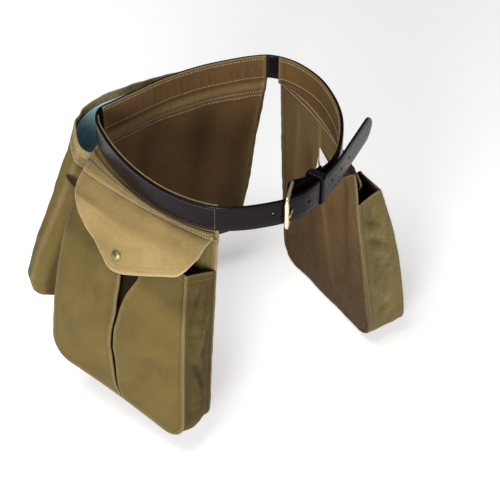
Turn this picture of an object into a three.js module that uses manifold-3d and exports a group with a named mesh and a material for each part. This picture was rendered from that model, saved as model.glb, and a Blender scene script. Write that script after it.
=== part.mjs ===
// Leather waist belt carrying two flap pouches and a lined game bag of waxed canvas.
// Millimetres, +Z up, +X the wearer's left, -Y the wearer's front.
// The origin is the middle of the belt loop, half way up the belt.

import * as THREE from 'three';
import { mergeVertices } from 'three/addons/utils/BufferGeometryUtils.js';
import Module from 'manifold-3d';

const wasm = await Module();
wasm.setup();

// Belt
const LOOP_HALF_WIDTH = 154;
const LOOP_HALF_DEPTH = 149;
const BELT_WIDTH = 38;
const BELT_THICKNESS = 3.8;
const FREE_END_LENGTH = 212;
const TIP_LENGTH = 17;
const HOLE_DIAMETER = 4.6;
const HOLE_PITCH = 25.4;
const HOLE_COUNT = 7;
const HOLES_INSIDE = 1;
const FOLD_LENGTH = 52;

// Buckle and keeper
const BAR_PITCH = 39;
const BAR_THICKNESS = 4.4;
const BUCKLE_CLEARANCE = 1.4;
const BUCKLE_TURN = -131;
const PRONG_WIDTH = 4;
const PRONG_THICKNESS = 2.8;
const KEEPER_WIDTH = 10;
const KEEPER_THICKNESS = 2;
const KEEPER_DISTANCE = 62;
const KEEPER_SLACK = 1.8;

// Canvas
const CANVAS = 1.6;
const SEAM_GAP = 0.3;
const HINGE_DROP = 19;

// Pouches
const SIDE_BAND = 256;
const RIGHT_BAND_START = 86;
const LEFT_BAND_END = 72;
const POUCH_WIDTH = 228;
const POUCH_HEIGHT = 291;
const POUCH_CORNER = 34;
const MOUTH_DROP = 44;
const MOUTH_DEPTH_FRONT = 40;
const MOUTH_DEPTH_REAR = 28;
const BOTTOM_DEPTH = 57;
const BELLY = 13;
const FRONT_INSET = 13;
const PLEAT_DEPTH = 11;
const PLEAT_OPENING = 11;
const PLEAT_SHOULDER = 7;
const GUSSET_SAG = 4;
const FLAP_WIDTH = 214;
const FLAP_LENGTH = 100;
const FLAP_THICKNESS = 2.4;
const FLAP_CLEARANCE = 2.2;
const TUCK_DEPTH = 11;
const TUCK_INSET = 0.12;
const SNAP_DIAMETER = 15;
const SNAP_HEIGHT = 3;
const SNAP_FROM_EDGE = 17;

// Game bag
const BAG_GAP_RIGHT = 20;
const BAG_GAP_LEFT = 20;
const BAG_DROP = 250;
const BAG_DEPTH = 78;
const BAG_LEAN = 71;
const BAG_SPREAD = 19;
const HEM_DROP = 1;
const LINING = 1;
const LINING_GAP = 0.6;
const LINING_DROP = 9;

// Label
const LABEL_WIDTH = 33;
const LABEL_HEIGHT = 56;
const LABEL_THICKNESS = 1;
const LABEL_TURN = 17;
const LABEL_PAST_MIDDLE = 5;
const LABEL_BELOW_HINGE = 35;

const COLOURS = {
  leather: { color: 0x35292f, roughness: 0.45, metalness: 0 },
  brass: { color: 0xcdb477, roughness: 0.28, metalness: 1 },
  canvas: { color: 0x8f7845, roughness: 0.85, metalness: 0 },
  lining: { color: 0x3f7a78, roughness: 0.6, metalness: 0 },
  snap: { color: 0x8c8a6a, roughness: 0.4, metalness: 1 },
  label: { color: 0xe6d9d6, roughness: 0.8, metalness: 0 },
};

// The belt's centre line seen from above, as shares of the loop's half sizes.
// It runs from the buckle round the right side, the back and the left side.
const LOOP_ROUTE = [
  { across: -0.08, along: -1.02 },
  { across: -0.26, along: -0.985 },
  { across: -0.43, along: -0.93 },
  { across: -0.61, along: -0.83 },
  { across: -0.76, along: -0.65 },
  { across: -0.89, along: -0.39 },
  { across: -0.97, along: -0.08 },
  { across: -1.0, along: 0.24 },
  { across: -0.99, along: 0.52 },
  { across: -0.955, along: 0.725 },
  { across: -0.87, along: 0.85 },
  { across: -0.715, along: 0.89 },
  { across: -0.49, along: 0.935 },
  { across: -0.18, along: 0.99 },
  { across: 0.17, along: 0.995 },
  { across: 0.44, along: 0.955 },
  { across: 0.65, along: 0.905 },
  { across: 0.785, along: 0.845 },
  { across: 0.89, along: 0.725 },
  { across: 0.96, along: 0.565 },
  { across: 1.0, along: 0.3 },
  { across: 0.97, along: 0.03 },
  { across: 0.885, along: -0.25 },
  { across: 0.74, along: -0.505 },
  { across: 0.56, along: -0.715 },
  { across: 0.37, along: -0.815 },
  { across: 0.21, along: -0.872 },
];

// The free end, from the buckle outwards; after the last point it runs straight.
const FREE_END_ROUTE = [
  { across: 0.1, along: -1.01 },
  { across: 0.31, along: -0.92 },
  { across: 0.545, along: -0.785 },
  { across: 0.745, along: -0.635 },
];

// The left pouch stands open, its flap tucked in.
const TUCKED = 'left';

const HEEL_BAR = { across: 0.06, along: -0.875 };

// How each pouch hangs: the middle of its hinge line, as shares of the loop's half
// sizes, and its turns in degrees. Yaw is seen from above, swing carries the bottom
// outwards, skew carries it forwards, and twist turns the bottom against the hinge.
// Rise is a share of the pouch's height by which its rear end hangs higher than its
// front end. Bow and bottomBow are shares of its width, the curve of its back panel.
const HANG = {
  right: { side: -1, across: -0.879, along: -0.12, yaw: 22, twist: 4, swing: 11, skew: 3, rise: 0.13, bow: 0.038, bottomBow: 0.016 },
  left: { side: 1, across: 0.87, along: 0.115, yaw: 5, twist: -7.5, swing: 1.6, skew: 6.5, rise: -0.03, bow: 0.044, bottomBow: 0.003 },
};

// The inverted pleat down the front panel: gap is half its opening as a share of
// PLEAT_OPENING, shift its wander towards the rear as a share of the half width.
const PLEAT = [
  { drop: 0.0, gap: 1.0, shift: -0.19 },
  { drop: 0.2, gap: 0.8, shift: -0.21 },
  { drop: 0.32, gap: 0.4, shift: -0.12 },
  { drop: 0.45, gap: 0.25, shift: -0.05 },
  { drop: 0.6, gap: 0.18, shift: -0.02 },
  { drop: 0.75, gap: 0.28, shift: -0.03 },
  { drop: 0.88, gap: 0.2, shift: -0.07 },
  { drop: 1.0, gap: 0.16, shift: -0.1 },
];

// The flap's free edge: reach is a share of its length at a share of the half width,
// from its front end to its rear end.
const FLAP_EDGE = [
  { across: -1.0, reach: 0.4 },
  { across: -0.9, reach: 0.57 },
  { across: -0.78, reach: 0.665 },
  { across: -0.2, reach: 0.92 },
  { across: -0.1, reach: 0.98 },
  { across: 0.0, reach: 1.0 },
  { across: 0.1, reach: 0.99 },
  { across: 0.2, reach: 0.945 },
  { across: 0.78, reach: 0.74 },
  { across: 0.9, reach: 0.63 },
  { across: 1.0, reach: 0.44 },
];

// The outer wall of the game bag seen from above: across is a share of the half
// width between its side seams, out a share of the bag's depth, and dip how far its
// hem hangs below the belt there, as a share of the bag's height.
const BAG_SECTION = [
  { across: -1.0, out: 0.0, dip: 0.05 },
  { across: -1.07, out: 0.0, dip: 0.08 },
  { across: -1.21, out: -0.16, dip: 0.08 },
  { across: -1.29, out: 0.03, dip: 0.06 },
  { across: -1.23, out: 0.4, dip: 0.0 },
  { across: -1.05, out: 0.75, dip: 0.0 },
  { across: -0.8, out: 0.96, dip: 0.0 },
  { across: -0.43, out: 1.03, dip: 0.0 },
  { across: 0.05, out: 1.0, dip: 0.0 },
  { across: 0.5, out: 0.84, dip: 0.0 },
  { across: 0.85, out: 0.56, dip: 0.0 },
  { across: 1.05, out: 0.28, dip: 0.0 },
  { across: 1.06, out: 0.08, dip: 0.0 },
  { across: 1.0, out: 0.0, dip: 0.0 },
];

// How the game bag changes as it drops: fullness scales its depth, flare the
// stretch of wall outside its side seams.
const BAG_LEVELS = [
  { drop: 0.0, fullness: 0.94, flare: 1.0 },
  { drop: 0.18, fullness: 0.9, flare: 1.0 },
  { drop: 0.4, fullness: 0.92, flare: 1.22 },
  { drop: 0.66, fullness: 1.0, flare: 1.5 },
  { drop: 0.85, fullness: 1.0, flare: 1.5 },
  { drop: 0.94, fullness: 0.84, flare: 1.15 },
  { drop: 0.985, fullness: 0.5, flare: 0.45 },
  { drop: 1.0, fullness: 0.06, flare: 0.1 },
];

const halfBelt = BELT_WIDTH / 2;
const degrees = Math.PI / 180;

function mix(a, b, t) {
  return a + (b - a) * t;
}

function clamp01(t) {
  return Math.min(1, Math.max(0, t));
}

function smooth(t) {
  const c = clamp01(t);
  return c * c * (3 - 2 * c);
}

function steps(count) {
  return Array.from({ length: count + 1 }, (_, i) => i / count);
}

// Reads a column of a table whose key column rises, with straight steps between rows.
function lookUp(table, key, column, value) {
  if (value <= table[0][key]) return table[0][column];
  for (let i = 1; i < table.length; i += 1) {
    const a = table[i - 1];
    const b = table[i];
    if (value <= b[key]) return mix(a[column], b[column], (value - a[key]) / (b[key] - a[key]));
  }
  return table[table.length - 1][column];
}

function material(name) {
  return new THREE.MeshStandardMaterial({ ...COLOURS[name], name });
}

function part(name, geometry, finish) {
  const mesh = new THREE.Mesh(geometry, material(finish));
  mesh.name = name;
  return mesh;
}

// Solids for cutting

function toSolid(geometry) {
  const bare = geometry.clone();
  bare.deleteAttribute('normal');
  bare.deleteAttribute('uv');
  const merged = mergeVertices(bare, 1e-4);
  return new wasm.Manifold(new wasm.Mesh({
    numProp: 3,
    vertProperties: new Float32Array(merged.attributes.position.array),
    triVerts: new Uint32Array(merged.index.array),
  }));
}

function toGeometry(solid) {
  const mesh = solid.getMesh();
  const geometry = new THREE.BufferGeometry();
  geometry.setAttribute('position', new THREE.BufferAttribute(mesh.vertProperties, 3));
  geometry.setIndex(new THREE.BufferAttribute(mesh.triVerts, 1));
  return geometry;
}

// Lines drawn in plan

function planPoint(row) {
  return new THREE.Vector2(row.across * LOOP_HALF_WIDTH, row.along * LOOP_HALF_DEPTH);
}

// A plan line measured by its own length, with its outward normal.
class PlanLine {
  constructor(points) {
    this.points = points;
    this.reach = [0];
    for (let i = 1; i < points.length; i += 1) {
      this.reach.push(this.reach[i - 1] + points[i].distanceTo(points[i - 1]));
    }
    this.length = this.reach[points.length - 1];
  }

  at(distance) {
    const s = Math.min(this.length, Math.max(0, distance));
    let i = 1;
    while (i < this.points.length - 1 && this.reach[i] < s) i += 1;
    const a = this.points[i - 1];
    const b = this.points[i];
    const t = (s - this.reach[i - 1]) / (this.reach[i] - this.reach[i - 1]);
    const direction = b.clone().sub(a).normalize();
    return {
      point: a.clone().lerp(b, t),
      direction,
      outward: new THREE.Vector2(-direction.y, direction.x),
    };
  }

  // The point at an offset to the outward side, with the normal smoothed.
  offset(distance, out) {
    const spread = 4;
    const before = this.at(distance - spread).outward;
    const after = this.at(distance + spread).outward;
    const normal = before.add(after).normalize();
    return this.at(distance).point.addScaledVector(normal, out);
  }
}

function smoothLine(rows, count) {
  const points = rows.map((p) => new THREE.Vector3(p.x, p.y, 0));
  const curve = new THREE.CatmullRomCurve3(points, false, 'centripetal');
  return curve.getSpacedPoints(count).map((p) => new THREE.Vector2(p.x, p.y));
}

// The strap's centre line runs from the tip through the buckle and round the
// loop, wraps the heel bar and comes back along its own inner face.
const heelBar = planPoint(HEEL_BAR);
const wrapRadius = BAR_THICKNESS / 2 + 3 * SEAM_GAP + BELT_THICKNESS / 2;

function strapLines() {
  const out = FREE_END_ROUTE.map(planPoint);
  const loop = LOOP_ROUTE.map(planPoint);
  const last = out[out.length - 1];
  const straight = last.clone().sub(out[out.length - 2]).normalize();
  const far = last.clone().addScaledVector(straight, FREE_END_LENGTH);
  const arrive = heelBar.clone().sub(loop[loop.length - 1]).normalize();
  const side = new THREE.Vector2(-arrive.y, arrive.x);
  const wrapStart = heelBar.clone().addScaledVector(side, wrapRadius);
  const route = [far, ...out.reverse(), ...loop, wrapStart];
  const whole = new PlanLine(smoothLine(route, 420));
  let buckleAt = 0;
  let nearest = Infinity;
  for (let s = 0; s < whole.length / 2; s += 0.5) {
    const gap = whole.at(s).point.distanceTo(loop[0]);
    if (gap < nearest) {
      nearest = gap;
      buckleAt = s;
    }
  }
  return { whole, buckleAt, arrive, side };
}

const strap = strapLines();
const loopLine = strap.whole;

// Distances along the belt are measured from the buckle.
function onBelt(distance, out) {
  return loopLine.offset(strap.buckleAt + distance, out);
}

const heelDistance = loopLine.length - strap.buckleAt;

function foldLine() {
  const turn = steps(10).slice(1).map((t) => {
    const angle = Math.PI * t;
    return heelBar.clone()
      .addScaledVector(strap.side, wrapRadius * Math.cos(angle))
      .addScaledVector(strap.arrive, wrapRadius * Math.sin(angle));
  });
  const resting = BELT_THICKNESS + SEAM_GAP;
  const back = steps(14).slice(1).map((t) => {
    const distance = FOLD_LENGTH * t;
    const inward = mix(2 * wrapRadius, resting, smooth(t * 2.2));
    return onBelt(heelDistance - distance, -inward);
  });
  return [...turn, ...back];
}

function strapOutline() {
  const start = strap.buckleAt - FREE_END_LENGTH;
  const reach = loopLine.length - start;
  const run = steps(210).map((t) => loopLine.at(start + reach * t).point);
  const line = new PlanLine([...run, ...foldLine()]);
  const outer = [];
  const inner = [];
  line.points.forEach((p, i) => {
    const before = line.points[Math.max(0, i - 1)];
    const after = line.points[Math.min(line.points.length - 1, i + 1)];
    const along = after.clone().sub(before).normalize();
    const normal = new THREE.Vector2(-along.y, along.x);
    outer.push(p.clone().addScaledVector(normal, BELT_THICKNESS / 2));
    inner.push(p.clone().addScaledVector(normal, -BELT_THICKNESS / 2));
  });
  return new THREE.Shape([...outer, ...inner.reverse()]);
}

// Buckle and prong, placed by axes of their own: along from the heel bar to the
// outer bar, side towards the free end, and up.
const buckleAlong = new THREE.Vector2(1, 0).rotateAround(new THREE.Vector2(), BUCKLE_TURN * degrees);
const buckleSide = new THREE.Vector2(-buckleAlong.y, buckleAlong.x);
const barInside = BAR_THICKNESS / 2 + 2 * SEAM_GAP;
const prongCentre = barInside + PRONG_THICKNESS / 2;

function placedOnHeelBar(geometry) {
  geometry.rotateZ(BUCKLE_TURN * degrees);
  return geometry.translate(heelBar.x, heelBar.y, 0);
}

function roundedRectangle(path, width, height, radius) {
  const x = width / 2;
  const y = height / 2;
  path.moveTo(-x + radius, -y);
  path.lineTo(x - radius, -y);
  path.absarc(x - radius, -y + radius, radius, -Math.PI / 2, 0);
  path.lineTo(x, y - radius);
  path.absarc(x - radius, y - radius, radius, 0, Math.PI / 2);
  path.lineTo(-x + radius, y);
  path.absarc(-x + radius, y - radius, radius, Math.PI / 2, Math.PI);
  path.lineTo(-x, -y + radius);
  path.absarc(-x + radius, -y + radius, radius, Math.PI, Math.PI * 1.5);
  return path;
}

function buckleFrame() {
  const bevel = BAR_THICKNESS / 4;
  const corner = BAR_THICKNESS * 1.2;
  const innerHeight = BELT_WIDTH + 2 * BUCKLE_CLEARANCE;
  const outerHeight = innerHeight + 2 * BAR_THICKNESS;
  const shape = roundedRectangle(
    new THREE.Shape(),
    BAR_PITCH + BAR_THICKNESS - 2 * bevel,
    outerHeight - 2 * bevel,
    corner - bevel,
  );
  const opening = roundedRectangle(
    new THREE.Path(),
    BAR_PITCH - BAR_THICKNESS + 2 * bevel,
    innerHeight + 2 * bevel,
    bevel * 2,
  );
  shape.holes.push(opening);
  const geometry = new THREE.ExtrudeGeometry(shape, {
    depth: BAR_THICKNESS - 2 * bevel,
    bevelThickness: bevel,
    bevelSize: bevel,
    bevelSegments: 2,
    curveSegments: 4,
  });
  geometry.translate(BAR_PITCH / 2, 0, bevel - BAR_THICKNESS / 2);
  geometry.rotateX(Math.PI / 2);
  return part('buckle_frame', placedOnHeelBar(geometry), 'brass');
}

// The prong's ring and shaft, or with room around it the cut that clears them.
function prongSolid(room) {
  const outer = barInside + PRONG_THICKNESS * 0.8 + room;
  const width = PRONG_WIDTH + 2 * room;
  const reach = BAR_PITCH + BAR_THICKNESS * 0.8;
  const ring = new THREE.Shape();
  ring.absarc(0, 0, outer, 0, Math.PI * 2, false);
  if (room === 0) {
    const bore = new THREE.Path();
    bore.absarc(0, 0, barInside, 0, Math.PI * 2, true);
    ring.holes.push(bore);
  }
  const ringBody = new THREE.ExtrudeGeometry(ring, { depth: width, bevelEnabled: false, curveSegments: 12 });
  ringBody.translate(0, 0, -width / 2);
  const shaft = new THREE.BoxGeometry(reach, PRONG_THICKNESS + 2 * room, width);
  shaft.translate(reach / 2, prongCentre, 0);
  return toSolid(ringBody).add(toSolid(shaft));
}

function buckleProng() {
  return part('buckle_prong', placedOnHeelBar(toGeometry(prongSolid(0))), 'brass');
}

// Where the strap crosses the prong's shaft, measured from the buckle.
function prongCrossing() {
  let crossing = 0;
  let nearest = Infinity;
  for (let s = -BAR_PITCH; s < BAR_PITCH; s += 0.25) {
    const side = onBelt(s, 0).sub(heelBar).dot(buckleSide);
    const gap = Math.abs(side - prongCentre);
    if (gap < nearest) {
      nearest = gap;
      crossing = s;
    }
  }
  return crossing;
}

function strapHole(distance) {
  const centre = onBelt(distance, 0);
  const { outward } = loopLine.at(strap.buckleAt + distance);
  const hole = new THREE.CylinderGeometry(HOLE_DIAMETER / 2, HOLE_DIAMETER / 2, BELT_THICKNESS * 3, 12);
  hole.rotateZ(Math.atan2(outward.y, outward.x) - Math.PI / 2);
  return toSolid(hole.translate(centre.x, centre.y, 0));
}

// A block beyond the strap's end with the pointed tip's outline cut out of it.
function tipTrim() {
  const end = loopLine.at(strap.buckleAt - FREE_END_LENGTH);
  const point = 0.16 * BELT_WIDTH;
  const spare = TIP_LENGTH;
  const trims = [1, -1].map((up) => {
    const shape = new THREE.Shape();
    shape.moveTo(-spare, up * point);
    shape.lineTo(0, up * point);
    shape.quadraticCurveTo(TIP_LENGTH * 0.25, up * halfBelt * 0.75, TIP_LENGTH, up * halfBelt);
    shape.lineTo(TIP_LENGTH, up * (halfBelt + spare));
    shape.lineTo(-spare, up * (halfBelt + spare));
    shape.closePath();
    const block = new THREE.ExtrudeGeometry(shape, {
      depth: BELT_THICKNESS * 3,
      bevelEnabled: false,
      curveSegments: 5,
    });
    block.translate(0, 0, -BELT_THICKNESS * 1.5);
    block.rotateX(Math.PI / 2);
    block.rotateZ(Math.atan2(end.direction.y, end.direction.x));
    return toSolid(block.translate(end.point.x, end.point.y, 0));
  });
  return trims[0].add(trims[1]);
}

function belt() {
  const body = new THREE.ExtrudeGeometry(strapOutline(), { depth: BELT_WIDTH, bevelEnabled: false });
  let solid = toSolid(body.translate(0, 0, -halfBelt)).subtract(tipTrim());
  const prongHole = prongCrossing();
  for (let i = 0; i < HOLE_COUNT; i += 1) {
    solid = solid.subtract(strapHole(prongHole + (HOLES_INSIDE - i) * HOLE_PITCH));
  }
  const clearance = toSolid(placedOnHeelBar(toGeometry(prongSolid(SEAM_GAP * 2))));
  return part('belt', toGeometry(solid.subtract(clearance)), 'leather');
}

// The keeper holds the free end, the strap under it and the strap's fold together.
function beltKeeper() {
  const place = loopLine.at(strap.buckleAt - KEEPER_DISTANCE);
  let deepest = 0;
  let nearest = Infinity;
  for (let s = heelDistance - FOLD_LENGTH * 2; s < heelDistance; s += 0.5) {
    const away = onBelt(s, 0).sub(place.point);
    const slip = Math.abs(away.dot(place.direction));
    if (slip < nearest) {
      nearest = slip;
      deepest = -away.dot(place.outward);
    }
  }
  const inner = deepest + BELT_THICKNESS * 1.5 + SEAM_GAP + KEEPER_SLACK;
  const outer = BELT_THICKNESS / 2 + SEAM_GAP;
  const across = inner + outer;
  const tall = BELT_WIDTH + 2 * SEAM_GAP;
  const shape = roundedRectangle(
    new THREE.Shape(),
    across + 2 * KEEPER_THICKNESS,
    tall + 2 * KEEPER_THICKNESS,
    KEEPER_THICKNESS,
  );
  shape.holes.push(roundedRectangle(new THREE.Path(), across, tall, KEEPER_THICKNESS / 4));
  const geometry = new THREE.ExtrudeGeometry(shape, {
    depth: KEEPER_WIDTH,
    bevelEnabled: false,
    curveSegments: 3,
  });
  geometry.translate((outer - inner) / 2, 0, -KEEPER_WIDTH / 2);
  geometry.rotateX(Math.PI / 2);
  geometry.rotateZ(Math.atan2(place.outward.y, place.outward.x));
  geometry.translate(place.point.x, place.point.y, 0);
  return part('belt_keeper', geometry, 'leather');
}

// Sheets

// A closed solid of one thickness about a surface given on a grid of places.
// across and down are lists of shares; a ring joins its last column to its first.
function sheet(across, down, place, thickness, ring = false) {
  const columns = across.length;
  const rows = down.length;
  const middle = down.map((v) => across.map((u) => place(u, v)));
  const column = (i) => (ring ? (i + columns) % columns : Math.min(columns - 1, Math.max(0, i)));
  const row = (j) => Math.min(rows - 1, Math.max(0, j));
  const positions = [];
  for (const face of [1, -1]) {
    for (let j = 0; j < rows; j += 1) {
      for (let i = 0; i < columns; i += 1) {
        const along = middle[j][column(i + 1)].clone().sub(middle[j][column(i - 1)]);
        const fall = middle[row(j + 1)][i].clone().sub(middle[row(j - 1)][i]);
        const normal = along.cross(fall).normalize();
        const p = middle[j][i].clone().addScaledVector(normal, face * thickness / 2);
        positions.push(p.x, p.y, p.z);
      }
    }
  }
  const top = (i, j) => j * columns + (ring ? i % columns : i);
  const under = (i, j) => rows * columns + top(i, j);
  const index = [];
  const quad = (a, b, c, d) => index.push(a, b, c, a, c, d);
  const spans = ring ? columns : columns - 1;
  for (let j = 0; j < rows - 1; j += 1) {
    for (let i = 0; i < spans; i += 1) {
      quad(top(i, j), top(i + 1, j), top(i + 1, j + 1), top(i, j + 1));
      quad(under(i, j), under(i, j + 1), under(i + 1, j + 1), under(i + 1, j));
    }
  }
  for (let i = 0; i < spans; i += 1) {
    quad(top(i, 0), under(i, 0), under(i + 1, 0), top(i + 1, 0));
    quad(top(i, rows - 1), top(i + 1, rows - 1), under(i + 1, rows - 1), under(i, rows - 1));
  }
  if (!ring) {
    for (let j = 0; j < rows - 1; j += 1) {
      quad(top(0, j), top(0, j + 1), under(0, j + 1), under(0, j));
      quad(top(spans, j), under(spans, j), under(spans, j + 1), top(spans, j + 1));
    }
  }
  const geometry = new THREE.BufferGeometry();
  geometry.setAttribute('position', new THREE.Float32BufferAttribute(positions, 3));
  geometry.setIndex(index);
  return geometry;
}

// Canvas bands sewn inside the belt

const bandOut = -(BELT_THICKNESS / 2 + SEAM_GAP + CANVAS / 2);
const leftBandFront = heelDistance - LEFT_BAND_END;
const bagBandStart = RIGHT_BAND_START + SIDE_BAND + BAG_GAP_RIGHT;
const bagBandEnd = leftBandFront - SIDE_BAND - BAG_GAP_LEFT;

// Each takes a share from the front end of a side band to its rear end.
const sideBand = {
  right: (share) => onBelt(RIGHT_BAND_START + SIDE_BAND * share, bandOut),
  left: (share) => onBelt(leftBandFront - SIDE_BAND * share, bandOut),
};

// Pouches. Their own frame: u from front to rear, h down from the hinge line of
// the flap, n outwards from the back panel.

const hingeZ = -halfBelt - HINGE_DROP;
const bandTop = -(BELT_WIDTH + HINGE_DROP);
const bodyHeight = POUCH_HEIGHT - MOUTH_DROP;

function pouchPlacer(name) {
  const hang = HANG[name];
  const swing = hang.swing * degrees;
  const skew = Math.sin(hang.skew * degrees);
  const middle = planPoint(hang);
  return (u, h, n) => {
    const share = u / POUCH_WIDTH;
    const yaw = (hang.yaw + hang.twist * clamp01(h / POUCH_HEIGHT)) * degrees;
    const rearward = new THREE.Vector2(hang.side * Math.sin(yaw), Math.cos(yaw));
    const outward = new THREE.Vector2(hang.side * Math.cos(yaw), -Math.sin(yaw));
    const bow = mix(hang.bow, hang.bottomBow, clamp01(h / POUCH_HEIGHT));
    const bowed = n + bow * POUCH_WIDTH * (1 - 4 * share * share);
    const u2 = u - h * skew;
    const raised = 1 - (0.5 - share) ** 2;
    const h2 = h - hang.rise * POUCH_HEIGHT * raised * smooth(h / (MOUTH_DROP * 1.4));
    const out = bowed * Math.cos(swing) + h2 * Math.sin(swing);
    const drop = h2 * Math.cos(swing) - bowed * Math.sin(swing);
    const hanging = middle.clone().addScaledVector(rearward, u2).addScaledVector(outward, out);
    const held = sideBand[name](share + 0.5);
    const w = smooth((h + HINGE_DROP * 0.9) / (HINGE_DROP * 0.9));
    return new THREE.Vector3(
      mix(held.x, hanging.x, w),
      mix(held.y, hanging.y, w),
      mix(hingeZ - h, hingeZ - drop, w),
    );
  };
}

// Half the width of a panel with round bottom corners, at a height below the hinge.
function halfWidth(half, h, inset = 0) {
  const radius = POUCH_CORNER - inset;
  const over = h - (POUCH_HEIGHT - POUCH_CORNER);
  if (over <= 0) return half - inset;
  return half - POUCH_CORNER + Math.sqrt(Math.max(0, radius * radius - over * over));
}

function cornerRows(inset = 0) {
  const radius = POUCH_CORNER - inset;
  return [30, 60, 90].map((turn) => POUCH_HEIGHT - POUCH_CORNER + radius * Math.sin(turn * degrees));
}

const sideRows = [0, 0.16, 0.36, 0.6, 0.82, 1].map((t) => mix(MOUTH_DROP, POUCH_HEIGHT - POUCH_CORNER, t));

function frontHalf(h) {
  const share = clamp01((h - MOUTH_DROP) / bodyHeight);
  return POUCH_WIDTH / 2 - FRONT_INSET * (1 - share);
}

function frontDepth(u, h) {
  const share = clamp01((h - MOUTH_DROP) / bodyHeight);
  const towardsRear = u / POUCH_WIDTH + 0.5;
  const mouth = mix(MOUTH_DEPTH_FRONT, MOUTH_DEPTH_REAR, towardsRear);
  const round = 1 - (2 * u / POUCH_WIDTH) ** 2;
  return mix(mouth, BOTTOM_DEPTH, share) + BELLY * Math.sin(Math.PI * share) * Math.max(0, round);
}

function backPanel(name, place) {
  const down = [bandTop, -halfBelt * 2, -HINGE_DROP, -HINGE_DROP * 0.9, -HINGE_DROP * 0.45, 0, MOUTH_DROP / 2, ...sideRows, ...cornerRows()];
  const across = steps(12).map((t) => 2 * t - 1);
  const surface = (c, h) => place(c * halfWidth(POUCH_WIDTH / 2, h), h, 0);
  return part(`${name}_pouch_back_panel`, sheet(across, down, surface, CANVAS), 'canvas');
}

function frontPanel(name, place) {
  const down = [...sideRows, ...cornerRows()];
  const outer = [-1, -0.8, -0.6, -0.4, -0.2];
  const pleat = [-3, -2, -1, 1, 2, 3];
  const across = [...outer, ...pleat.map((k) => k / 100), ...outer.map((c) => -c).reverse()];
  const surface = (c, h) => {
    const share = clamp01((h - MOUTH_DROP) / bodyHeight);
    const half = halfWidth(frontHalf(h), h);
    const gap = PLEAT_OPENING * lookUp(PLEAT, 'drop', 'gap', share);
    const centre = POUCH_WIDTH / 2 * lookUp(PLEAT, 'drop', 'shift', share);
    const step = Math.abs(c) < 0.1 ? Math.round(Math.abs(c) * 100) : 0;
    const side = Math.sign(c);
    const atGroove = [0, gap * 0.55, gap, gap + PLEAT_SHOULDER][step];
    const start = centre + side * (gap + PLEAT_SHOULDER);
    const u = step ? centre + side * atGroove : mix(start, side * half, (Math.abs(c) - 0.04) / 0.96);
    const depth = step === 1 ? PLEAT_DEPTH * (1 - smooth((share - 0.9) * 10)) : 0;
    return place(u, h, frontDepth(u, h) - depth);
  };
  return part(`${name}_pouch_front_panel`, sheet(across, down, surface, CANVAS), 'canvas');
}

// The gusset runs down one side, along the bottom and up the other side.
function gusset(name, place) {
  const corners = [30, 60, 90];
  const run = [
    ...sideRows.map((h) => ({ side: -1, h })),
    ...corners.map((turn) => ({ side: -1, turn })),
    ...[-0.75, -0.5, -0.25, 0, 0.25, 0.5, 0.75].map((bottom) => ({ bottom })),
    ...[...corners].reverse().map((turn) => ({ side: 1, turn })),
    ...[...sideRows].reverse().map((h) => ({ side: 1, h })),
  ];
  const wallGap = CANVAS + SEAM_GAP / 2;
  const surface = (i, v) => {
    const stop = run[Math.round(i)];
    const inset = CANVAS / 2 + GUSSET_SAG * 4 * v * (1 - v);
    const radius = POUCH_CORNER - inset;
    const low = POUCH_HEIGHT - POUCH_CORNER;
    const h = stop.h ?? low + radius * Math.sin((stop.turn ?? 90) * degrees);
    const half = mix(POUCH_WIDTH / 2, frontHalf(h), v);
    const side = stop.side ?? stop.bottom;
    const width = stop.side ? halfWidth(half, h, inset) : half - POUCH_CORNER;
    const u = side * width;
    return place(u, h, mix(wallGap, frontDepth(u, h) - wallGap, v));
  };
  const along = run.map((_, i) => i);
  return part(`${name}_pouch_gusset`, sheet(along, steps(3), surface, CANVAS), 'canvas');
}

// The closed flap leaves the hinge line outwards, turns over the mouth and lies on the front.
function closedFlapPoint(place, u, reach) {
  const start = CANVAS + SEAM_GAP;
  const clear = CANVAS / 2 + FLAP_CLEARANCE + FLAP_THICKNESS / 2;
  const landing = MOUTH_DROP * 1.1;
  const turn = MOUTH_DROP * 1.25;
  const rest = frontDepth(u, landing) + clear;
  const t = clamp01(reach / turn);
  const bend = 2 * t * (1 - t);
  if (t < 1) {
    const n = start * (1 - t) ** 2 + rest * 0.86 * bend + rest * t * t;
    const h = MOUTH_DROP * 0.12 * bend + landing * t * t;
    return place(u, h, n);
  }
  const h = landing + reach - turn;
  return place(u, h, frontDepth(u, h) + clear);
}

// The open pouch's flap is tucked inside it, behind the mouth.
function tuckedFlapPoint(place, u, reach) {
  const start = (CANVAS + FLAP_THICKNESS) / 2 + SEAM_GAP;
  const t = clamp01(reach / MOUTH_DROP);
  const loose = TUCK_DEPTH * Math.sin(Math.PI * 0.5 * t) * (1 - 0.35 * clamp01(reach / FLAP_LENGTH));
  return place(u * (1 - TUCK_INSET * smooth(t * 0.7)), reach * 0.97 + 1, start + loose);
}

function flapPoint(name, place, u, reach) {
  return name === TUCKED ? tuckedFlapPoint(place, u, reach) : closedFlapPoint(place, u, reach);
}

function flapReach(u) {
  return FLAP_LENGTH * lookUp(FLAP_EDGE, 'across', 'reach', u / (FLAP_WIDTH / 2));
}

function flap(name, place) {
  const across = [-1, -0.9, -0.78, -0.6, -0.4, -0.2, -0.1, 0, 0.1, 0.2, 0.4, 0.6, 0.78, 0.9, 1];
  const surface = (c, v) => {
    const u = c * FLAP_WIDTH / 2;
    return flapPoint(name, place, u, flapReach(u) * v);
  };
  return part(`${name}_pouch_flap`, sheet(across, steps(9), surface, FLAP_THICKNESS), 'canvas');
}

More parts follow.
